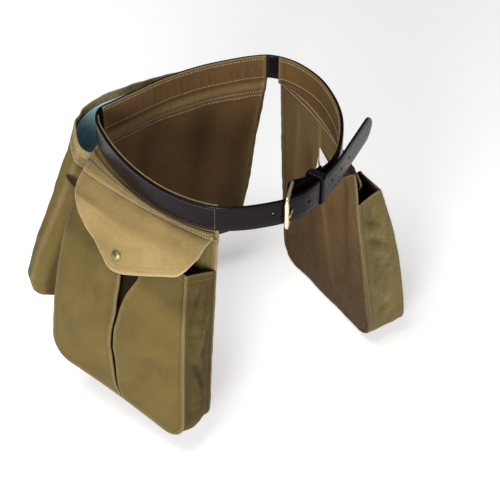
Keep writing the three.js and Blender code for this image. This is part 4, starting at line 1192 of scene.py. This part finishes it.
        # Wear at the mouth, seams and wrinkle ridges, plus the left gusset's painted light.
        wear_and_painted_light = np.clip(0.65 * smooth((3.5 - mouth) / 3) + 0.4 * edge_share(v, 1.0, 0.06)
                       + 0.3 * edge_share(v, 0.0, 0.06) + 0.3 * np.clip(wrinkle / 2, 0, 1)
                       + GUSSET_PAINTED_LIGHT[self.name], 0, 1)
        # Painted shade: darker in wrinkle hollows, by the back seam, at the hem line and over the whole right gusset.
        painted_shade = np.clip(0.35 * np.clip(-wrinkle / 2, 0, 1) + 0.25 * edge_share(v, 0.06, 0.08)
                       + 0.25 * edge_share(mouth, 21.5, 1.5) + GUSSET_PAINTED_SHADE[self.name], 0, 1)
        low = slant + self.mouth_sag(u, h) * v + BOTTOM_PUFF * inner * smooth((h - low) / POUCH_CORNER)
        self.gusset = Sheet(run, v[:, 0], self.place(u, h + low, n), CANVAS + hem, wear_and_painted_light, painted_shade)
        self.gusset.hang(f"{self.name}_pouch_gusset_cloth", OUTSIDE, "canvas", f"{self.name}_pouch_gusset")
        wide = np.linspace(0.05, 0.95, 24)
        way = self.place(0, POUCH_HEIGHT, 25.0) - self.place(0, POUCH_HEIGHT / 2, 25.0)
        out = self.gusset.outward(way)
        for at in (9.0, run[-1] - 9.0):
            self.tan_rows.row(*self.gusset.point(at, wide, out))

    def seam_line(self, v, lift):
        """The edge where the gusset meets a panel, from one end of the mouth to the other."""
        grid = self.gusset.middle
        line, inward = (grid[-1], grid[-3]) if v else (grid[0], grid[2])
        return line + unit(line - inward) * lift

    def make_seams(self):
        centre = self.place(0.0, POUCH_HEIGHT / 2, 25.0)
        for v, name in ((1, "front"), (0, "back")):
            line = self.seam_line(v, 1.0)
            seam = tube(f"{self.name}_pouch_{name}_seam", line, unit(line - centre), 2.3, 2.6, 8)
            seam.data.attributes.new("wear_and_painted_light", "FLOAT", "POINT").data.foreach_set(
                "value", np.full(len(seam.data.vertices), 0.3, np.float32))
            seam.data.uv_layers.new(name="cloth")
            dress(seam, OUTSIDE, "canvas")

    def closed_flap(self, u, reach):
        start = CANVAS + SEAM_GAP
        clear = CANVAS / 2 + FLAP_CLEARANCE + FLAP_THICKNESS / 2
        landing, turn = MOUTH_DROP * 1.1, MOUTH_DROP * 1.25
        rest = front_depth(self.name, u, landing) + clear
        t = np.clip(reach / turn, 0, 1)
        bend = 2 * t * (1 - t)
        n = start * (1 - t) ** 2 + rest * 0.86 * bend + rest * t * t
        h = MOUTH_DROP * 0.12 * bend + landing * t * t
        beyond = reach > turn
        far = landing + reach - turn
        return np.where(beyond, far, h), np.where(beyond, front_depth(self.name, u, far) + clear, n)

    def tucked_flap(self, u, reach):
        start = (CANVAS + FLAP_THICKNESS) / 2 + SEAM_GAP
        t = np.clip(reach / MOUTH_DROP, 0, 1)
        loose = TUCK_DEPTH * np.sin(np.pi / 2 * t) * (1 - 0.35 * np.clip(reach / FLAP_LENGTH, 0, 1))
        return u * (1 - TUCK_INSET * smooth(t * 0.7)), reach * 0.97 + 1, start + loose

    def flap_point(self, u, reach, closed):
        root = np.minimum(reach, 0.0)
        if closed:
            h, n = self.closed_flap(u, np.maximum(reach, 0))
            free = smooth((reach - 40) / 50)
            lift = 1.8 * free * smooth((-u - 20) / 70)
            sag = rumple(u, reach, self.seed + 7, 110, 0.2) * 1.8 * smooth(reach / 25)
            hollow = -4.5 * bump((reach - 5) / 36) * smooth((-u + 40) / 110)
            ribs = 1.2 * (bump(reach / 4.6 + 1.9) + bump(reach / 4.6 + 0.4))
            return self.place(u, h + root, n + lift + sag + hollow + ribs)
        u2, h, n = self.tucked_flap(u, np.maximum(reach, 0))
        wave = rumple(u, reach, self.seed + 7, 90) * 1.0 * smooth(reach / 25)
        return self.place(u2, h + root, n + wave)

    def flap_reach(self, across):
        """How far the flap reaches at shares of its half width, with its corners rounded."""
        steps = FLAP_EDGE_ROUNDING * np.array([-1.0, -0.5, 0.0, 0.5, 1.0])
        reads = [np.interp(across + step, FLAP_EDGE["across"], FLAP_EDGE["reach"]) for step in steps]
        return FLAP_LENGTH * sum(reads) / len(reads)

    def make_flap(self):
        closed = self.name != TUCKED
        half = FLAP_WIDTH / 2
        across = np.linspace(-1, 1, 115)
        rows = np.concatenate([np.linspace(0, 0.14, 20)[:-1], np.linspace(0.14, 1, 46)])[:, None]
        edge = self.flap_reach(across)
        root = FLAP_ROOT if closed else 0.0
        reach = -root + (edge + root) * rows
        taper = FLAP_TAPER * np.clip(reach / FLAP_TAPER_REACH, 0, 1) * smooth(2 * across)
        u = (across * half + FLAP_SHIFT) * (1 - taper)
        to_edge = np.minimum((edge - reach) * 0.85, (1 - abs(across)) * half)
        hem = 1.0 * smooth((6.5 - to_edge) / 1.2) - 0.6 * bump((to_edge - 6.0) / 3.0)
        ridge = bump(reach / 4.6 + 1.9) + bump(reach / 4.6 + 0.4)
        wear_and_painted_light = np.clip(0.95 * smooth((3.2 - to_edge) / 2.5) + 0.4 * bump((to_edge - 4.6) / 4) + 0.5 * ridge, 0, 1)
        valley = edge_share(reach, -6.6, 1.4) + edge_share(reach, 3.2, 1.8) + edge_share(reach, -10.6, 1.2)
        # Painted shade: darker in the welt valleys, inside the hem line, at the root under the belt and towards the
        # free edge.
        painted_shade = np.clip(0.5 * valley * closed + 0.18 * bump((to_edge - 6.0) / 3.0)
                       + 0.34 * smooth(-reach / 4) + 0.12 * smooth((reach - 55) / 40), 0, 1)
        self.flap = Sheet(across, rows[:, 0], self.flap_point(u, reach, closed), FLAP_THICKNESS * 0.8 + hem,
                          wear_and_painted_light, painted_shade)
        # The closed flap gets the painted-light copy, the tucked one the shaded reverse side.
        face = FLAP_PAINTED_LIGHT_CANVAS if closed else INSIDE_WITH_PAINTED_SHADE
        self.flap.hang(f"{self.name}_pouch_flap_cloth", face, "canvas", f"{self.name}_pouch_flap")
        if not closed:
            return
        out = self.flap.outward(self.outwards)
        line = np.linspace(-0.965, 0.965, 200)
        reaches = self.flap_reach(line)
        inset = 8.0
        share = (reaches - inset + root) / (reaches + root)
        self.tan_rows.row(*self.flap.point(line, share, out))
        for end in (0, -1):
            down = np.linspace((root + 2) / (reaches[end] + root), share[end], 20)
            self.tan_rows.row(*self.flap.point(0.975 * line[end], down, out))
        for row in (-6.4, 1.0):
            self.cream_rows.row(*self.flap.point(line, (row + root) / (reaches + root), out))

    def make_snap(self):
        radius = SNAP_DIAMETER / 2
        reach = FLAP_LENGTH - SNAP_FROM_EDGE
        rim = [(0.0, 0.0), (0.96, 0.0), (1.0, 0.16), (0.985, 0.36), (0.9, 0.5), (0.8, 0.42), (0.74, 0.46),
               (0.62, 0.7), (0.42, 0.9), (0.2, 0.98), (0.0, 1.0)]
        cap = [(r * radius, y * SNAP_HEIGHT) for r, y in rim]
        tall = FLAP_CLEARANCE - 2 * SEAM_GAP
        stud = [(0, 0), (radius * 0.6, 0), (radius * 0.62, tall * 0.3), (radius * 0.4, tall * 0.45),
                (radius * 0.44, tall * 0.9), (radius * 0.3, tall), (0, tall)]
        closed = self.name != TUCKED
        under = -(FLAP_THICKNESS / 2 + SEAM_GAP + tall)
        for part, profile, on_closed, lift in (("snap_cap", cap, closed, FLAP_THICKNESS * 0.4),
                                               ("snap_stud", stud, True, under)):
            at = [self.flap_point(np.array(SNAP_SHIFT + du), np.array(reach + dq), on_closed)
                  for du, dq in ((0, 0), (5, 0), (-5, 0), (0, 5), (0, -5))]
            axis = unit(np.cross(at[1] - at[2], at[3] - at[4])) * -self.side
            self.turned(f"{self.name}_pouch_{part}_metal", profile, at[0] + axis * lift, axis,
                        f"{self.name}_pouch_{part}")

    def turned(self, name, profile, seat, axis, node):
        side = unit(np.cross(axis, [0.0, 0.0, 1.0]))
        up = np.cross(side, axis)
        count = 40
        turn = np.arange(count) * 2 * np.pi / count
        rings = profile[1:-1]
        points = [seat + axis * profile[0][1]]
        for r, y in rings:
            points += [seat + axis * y + (side * math.cos(t) + up * math.sin(t)) * r for t in turn]
        points.append(seat + axis * profile[-1][1])
        faces = []
        for k in range(count):
            k2 = (k + 1) % count
            faces.append([0, 1 + k, 1 + k2, -1])
            for r in range(len(rings) - 1):
                a = 1 + r * count
                faces.append([a + k, a + count + k, a + count + k2, a + k2])
            a = 1 + (len(rings) - 1) * count
            faces.append([a + k, len(points) - 1, a + k2, -1])
        dress(add_mesh(name, np.array(points), faces), SNAP, "snap", node)


for pouch_name in HANG:
    Pouch(pouch_name)

# The game bag

CHORD_RIGHT = on_belt(BAG_START, BAND_OUT)
CHORD_LEFT = on_belt(BAG_END, BAND_OUT)
CHORD_HALF = np.linalg.norm(CHORD_LEFT - CHORD_RIGHT) / 2


def bag_inner(share, drop):
    share, drop = np.broadcast_arrays(np.asarray(share, float), np.asarray(drop, float))
    held = on_belt(mix(BAG_START, BAG_END, share), BAND_OUT)
    straight = mix(CHORD_RIGHT, CHORD_LEFT, share[..., None])
    point = mix(held, straight, (smooth(drop * 1.3) * 0.85)[..., None])
    x = point[..., 0] - BAG_LEAN * drop + (2 * share - 1) * BAG_SPREAD * drop
    return stack(x, point[..., 1] - BAG_SPREAD * 0.3 * drop)


def section_at(place):
    """The outer wall's columns at fractional places along its table, rounded between its corners."""
    table = np.stack([BAG_SECTION[k] for k in ("across", "out", "dip")], axis=1)
    dense = curve_through(table, 24)
    return dense[np.clip((place * 24).round().astype(int), 0, len(dense) - 1)]


def bag_outer(row, drop):
    across, out, dip = row[..., 0], row[..., 1], row[..., 2]
    fullness = np.interp(drop, BAG_LEVELS["drop"], BAG_LEVELS["fullness"])
    flare = np.interp(drop, BAG_LEVELS["drop"], BAG_LEVELS["flare"])
    side = np.sign(across)
    beyond = np.maximum(0, abs(across) - 1) * flare
    share = (side * np.minimum(1, abs(across)) + 1) / 2
    seam = bag_inner(share, drop)
    ends = mix(bag_inner(0.0, drop), bag_inner(1.0, drop), share[..., None])
    base = mix(seam, ends, np.clip(out, 0, 1)[..., None])
    x = base[..., 0] + side * beyond * CHORD_HALF
    y = base[..., 1] + CANVAS * 1.3 + SEAM_GAP + out * BAG_DEPTH * fullness
    return stack(x, y, mix(BAG_TOP - dip * BAG_DROP, BAG_BOTTOM, drop))


INNER_FOLDS = [
    ((0.1, 0.12), (0.34, 0.9), 0.08, 5.0),
    ((0.3, 0.15), (0.4, 0.9), 0.08, -5.0),
    ((0.5, 0.12), (0.56, 0.85), 0.1, 5.0),
    ((0.68, 0.16), (0.72, 0.9), 0.08, -5.0),
    ((0.86, 0.14), (0.84, 0.9), 0.07, 4.0),
]


def inner_panel():
    band = spaced(HALF_BELT, -HALF_BELT)[:-1]
    drops = np.linspace(0, 1, 108)
    z = np.concatenate([band, -HALF_BELT - BAG_DROP * drops])
    drop = np.concatenate([np.zeros(len(band)), drops])
    share = np.linspace(0, 1, 128)
    p = bag_inner(share[None, :], drop[:, None])
    body = smooth(drop / 0.12)[:, None]
    x, y = share[None, :] * 294, drop[:, None] * BAG_DROP
    inward = (folds(share[None, :], drop[:, None], INNER_FOLDS) + rumple(x, y, 41, 110, 0.4, 0.5) * 2.4
              + rumple(x, y, 42, 26) * 0.5) * body
    t = (-HALF_BELT - z)[:, None]
    pillow = 4.2 * bump(t / 19.0) * (0.75 + 0.25 * np.sin(share * 14)[None, :]) * smooth(share[None, :] * 12)
    pillow = pillow * smooth((1 - share[None, :]) * 12)
    pucker = rumple(x, t, 43, 14, 0.0, 0.15) * 0.5 * bump((t + 30) / 28)
    inward = inward + pillow + pucker + 0.6 * bump((t - 17) / 5) + 0.5 * bump((t - 23) / 5)
    middle = stack(p[..., 0], p[..., 1] - inward, z[:, None])
    edge = np.maximum(edge_share(share, 0.0, 0.03), edge_share(share, 1.0, 0.03))[None, :]
    wear_and_painted_light = np.clip(0.4 * edge + 0.75 * edge_share(z, HALF_BELT, 3)[:, None] + 0.6 * edge_share(t, 20, 3)
                   + 0.5 * edge_share(t, 26, 3) + 0.6 * bump(t / 19), 0, 1)
    valley = edge_share(t, 20.0, 1.6) + edge_share(t, 27.5, 1.6)
    # Painted shade: darker in the seam valleys, just under the belt, in fold hollows and towards the bottom.
    painted_shade = np.clip(0.5 * valley + 0.35 * edge_share(t, 1.0, 2.5) + 0.35 * smooth(-inward / 6)
                   + 0.4 * smooth((t - 90) / 130), 0, 1)
    sheet = Sheet(share, -z, middle, CANVAS + 0.6 * edge, wear_and_painted_light, painted_shade)
    sheet.hang("game_bag_inner_cloth", BAG_INSIDE_WITH_PAINTED_SHADE, "canvas", "game_bag_inner_panel")
    side = sheet.outward((0.0, -1.0, 0.0))
    rows = Stitching()
    line = np.linspace(0.008, 0.992, 240)
    for z_row in (HALF_BELT - 4.5, -HALF_BELT + 3.5, -HALF_BELT - 18.5, -HALF_BELT - 24.5):
        rows.row(*sheet.point(line, -z_row, side))
    return rows


def outer_panel(rows):
    last = len(BAG_SECTION["across"]) - 1
    place = np.linspace(0, last, 200)
    row = section_at(place)[None, :]
    drop = np.concatenate([np.linspace(0, 0.9, 86), np.linspace(0.9, 1, 22)[1:]])[:, None]
    middle = bag_outer(row, drop)
    base = Sheet(place, drop[:, 0], middle, CANVAS)
    x, y = base.measure[..., 0], base.measure[..., 1]
    free = smooth(place / 1.4)[None, :] * smooth((last - place) / 1.4)[None, :] * smooth((1 - drop) * 9)
    hem_line = 26.0
    relief = (rumple(x, y, 51, 85) * 2.6 + rumple(x, y, 52, 28) * 0.7) * free * smooth(y / 50)
    relief = relief + rumple(x, y, 53, 34, 0.0, 0.2) * 1.1 * free * smooth(1 - y / 60)
    middle = middle + base.normal * relief[..., None]
    hem = 1.0 * smooth((hem_line - y) / 2)
    wear_and_painted_light = np.clip(0.6 * smooth((11 - y) / 3) + 0.45 * smooth((hem_line - y) / 3)
                   + 0.35 * edge_share(place, 3.0, 0.35)[None, :], 0, 1)
    # Painted shade along the line just under the hem.
    sheet = Sheet(place, drop[:, 0], middle, CANVAS + hem, wear_and_painted_light, 0.3 * edge_share(y, hem_line + 1.5, 1.5))
    sheet.hang("game_bag_outer_cloth", OUTSIDE, "canvas", "game_bag_outer_panel")
    out = sheet.outward((0.0, 1.0, 0.0))
    line = np.linspace(0.2, last - 0.2, 260)
    for face in (out, -out):
        rows.row(*sheet.point(line, (hem_line - 4.0) / BAG_DROP, face))


def lining():
    last = len(BAG_SECTION["across"]) - 1
    place = np.linspace(0.9, last - 0.9, 150)
    drop = np.linspace(LINING_DROP / BAG_DROP, 0.9, 70)[:, None]
    row = section_at(place)[None, :]
    wall = bag_outer(row, drop)
    along = unit(np.gradient(wall[..., :2], axis=1))
    inward = stack(along[..., 1], -along[..., 0])
    inset = LINING_INSET + 1.6
    plan = wall[..., :2] + inward * inset
    inner_share = np.linspace(0.94, 0.06, 60)[None, :]
    inner = bag_inner(inner_share, drop)
    z = wall[..., 2]
    inner_z = mix(BAG_TOP, BAG_BOTTOM, drop) + 0 * inner_share
    front = stack(inner[..., 0], inner[..., 1] + inset * 2.4, inner_z)
    grid = np.concatenate([stack(plan[..., 0], plan[..., 1], z), front], axis=1)
    base = Sheet(np.arange(grid.shape[1]), drop[:, 0], grid, LINING, ring=True)
    x, y = base.measure[..., 0], base.measure[..., 1]
    ripple = (rumple(x, y, 61, 40) + rumple(x, y, 62, 15) * 0.35 - 1.2) * smooth(y / 12)
    sign = 1.0 if base.normal[20, 70][1] > 0 else -1.0
    grid = grid + base.normal * (ripple * sign)[..., None]
    sheet = Sheet(np.arange(grid.shape[1]), drop[:, 0], grid, LINING * 0.8, ring=True)
    sheet.hang("game_bag_lining_cloth", TEAL, "lining", "game_bag_lining")


def label():
    a = np.linspace(0, 1, 34)[None, :]
    b = np.linspace(0, 1, 50)[:, None]
    forward, low = a * LABEL_WIDTH, b * LABEL_HEIGHT
    u = LABEL_PAST_MIDDLE - forward * math.cos(LABEL_TURN) + low * math.sin(LABEL_TURN)
    h = LABEL_BELOW_HINGE + forward * math.sin(LABEL_TURN) + low * math.cos(LABEL_TURN)
    curl = 3.2 * smooth((b - 0.55) / 0.45) * (0.6 + 0.4 * a) + 0.35 * np.sin(a * 7) * b
    n = -(CANVAS / 2 + SEAM_GAP + LABEL_THICKNESS / 2 + 1.6) - curl
    sheet = Sheet(a[0], b[:, 0], pouch_place("left", u, h, n), LABEL_THICKNESS + 0.5 * edge_share(b, 0, 0.08))
    sheet.hang("blank_label", LABEL_CLOTH, "label", "label")


bag_rows = inner_panel()
outer_panel(bag_rows)
dress(bag_rows.make("game_bag_stitching"), CREAM, "canvas")
lining()
label()


def belt_stitching():
    """Rows through the strap where the bags are sewn on, seen on its outer face."""
    rows = Stitching()
    for start, end in ((RIGHT_BAND_START, RIGHT_BAND_START + SIDE_BAND), (BAG_START, BAG_END),
                       (LEFT_BAND_FRONT - SIDE_BAND, LEFT_BAND_FRONT)):
        s = np.linspace(start + 2, end - 2, 160)
        plan = on_belt(s, BELT_THICKNESS / 2 - CREASE_DEPTH * 0.4)
        heading = LOOP_LINE.heading(BUCKLE_AT + s)
        out = stack(-heading[:, 1], heading[:, 0], 0.0 * s)
        for z in (HALF_BELT - CREASE_INSET * 1.6, -HALF_BELT + CREASE_INSET * 1.6):
            rows.row(np.column_stack([plan, np.full(len(s), z)]), out, 2.9)
        for at in (s[:1] + 1, s[-1:] - 1):
            z = np.linspace(-HALF_BELT + 4, HALF_BELT - 4, 12)
            p = on_belt(np.repeat(at, 12), BELT_THICKNESS / 2)
            h = LOOP_LINE.heading(BUCKLE_AT + np.repeat(at, 12))
            rows.row(np.column_stack([p, z]), stack(-h[:, 1], h[:, 0], 0.0 * z), 2.9)
    dress(rows.make("strap_stitching", 2.0, 0.36), DARK_THREAD, "leather")


belt_stitching()

# Floor, light and camera

FLOOR_Z = -342.0
FLOOR_SIZE = 14.0
FLOOR_GLOW = 0.37


def floor():
    made = Shader("studio_floor")
    tone = made.blend(made.noise(0.4, 2.0), (0.93, 0.93, 0.93), (0.95, 0.95, 0.95))
    material = made.finish(Base_Color=tone, Roughness=0.9, Specular_IOR_Level=0.1,
                           Emission_Color=(1.0, 1.0, 1.0), Emission_Strength=FLOOR_GLOW)
    side = FLOOR_SIZE / 2 / MM
    corners = np.array([[-side, -side, FLOOR_Z], [side, -side, FLOOR_Z], [side, side, FLOOR_Z],
                        [-side, side, FLOOR_Z]])
    obj = add_mesh("studio_floor", corners, [[0, 1, 2, 3]])
    obj.data.materials.append(material)


def area_light(name, direction, distance, size, power, colour=(1.0, 1.0, 1.0)):
    data = bpy.data.lights.new(name, "AREA")
    data.shape = "DISK"
    data.size = size
    data.energy = power
    data.color = colour
    obj = bpy.data.objects.new(name, data)
    bpy.context.scene.collection.objects.link(obj)
    way = Vector(direction).normalized()
    obj.location = way * distance + Vector((0.0, 0.0, -0.12))
    obj.rotation_mode = "QUATERNION"
    obj.rotation_quaternion = way.to_track_quat("Z", "Y")
    return obj


def camera():
    a, e = AZIMUTH * DEGREE, ELEVATION * DEGREE
    back = np.array([math.sin(a) * math.cos(e), -math.cos(a) * math.cos(e), math.sin(e)])
    right = np.array([math.cos(a), math.sin(a), 0.0])
    up = np.cross(back, right)
    focal = PIXELS_PER_MM * CAMERA_DISTANCE
    shift = (np.array(AIM_PIXEL) - PICTURE_SIDE / 2) / focal * CAMERA_DISTANCE
    eye = np.array(AIM_POINT) + back * CAMERA_DISTANCE - right * shift[0] + up * shift[1]
    data = bpy.data.cameras.new("camera")
    data.sensor_width = SENSOR
    data.lens = focal / PICTURE_SIDE * SENSOR
    data.clip_start, data.clip_end = 0.1, 50.0
    obj = bpy.data.objects.new("camera", data)
    bpy.context.scene.collection.objects.link(obj)
    obj.location = Vector(eye * MM)
    obj.rotation_mode = "QUATERNION"
    obj.rotation_quaternion = Vector(-back).to_track_quat("-Z", "Y")
    bpy.context.scene.camera = obj


def studio():
    scene = bpy.context.scene
    world = bpy.data.worlds.new("studio")
    world.use_nodes = True
    world.node_tree.nodes["Background"].inputs["Color"].default_value = (1.0, 1.0, 1.0, 1.0)
    world.node_tree.nodes["Background"].inputs["Strength"].default_value = 0.2
    scene.world = world
    scene.view_settings.view_transform = "Standard"
    area_light("key", (-0.3, 0.05, 0.95), 2.6, 1.6, 36.0)
    area_light("fill", (-0.7, -0.67, 0.25), 2.6, 1.2, 68.0)


floor()
studio()
camera()
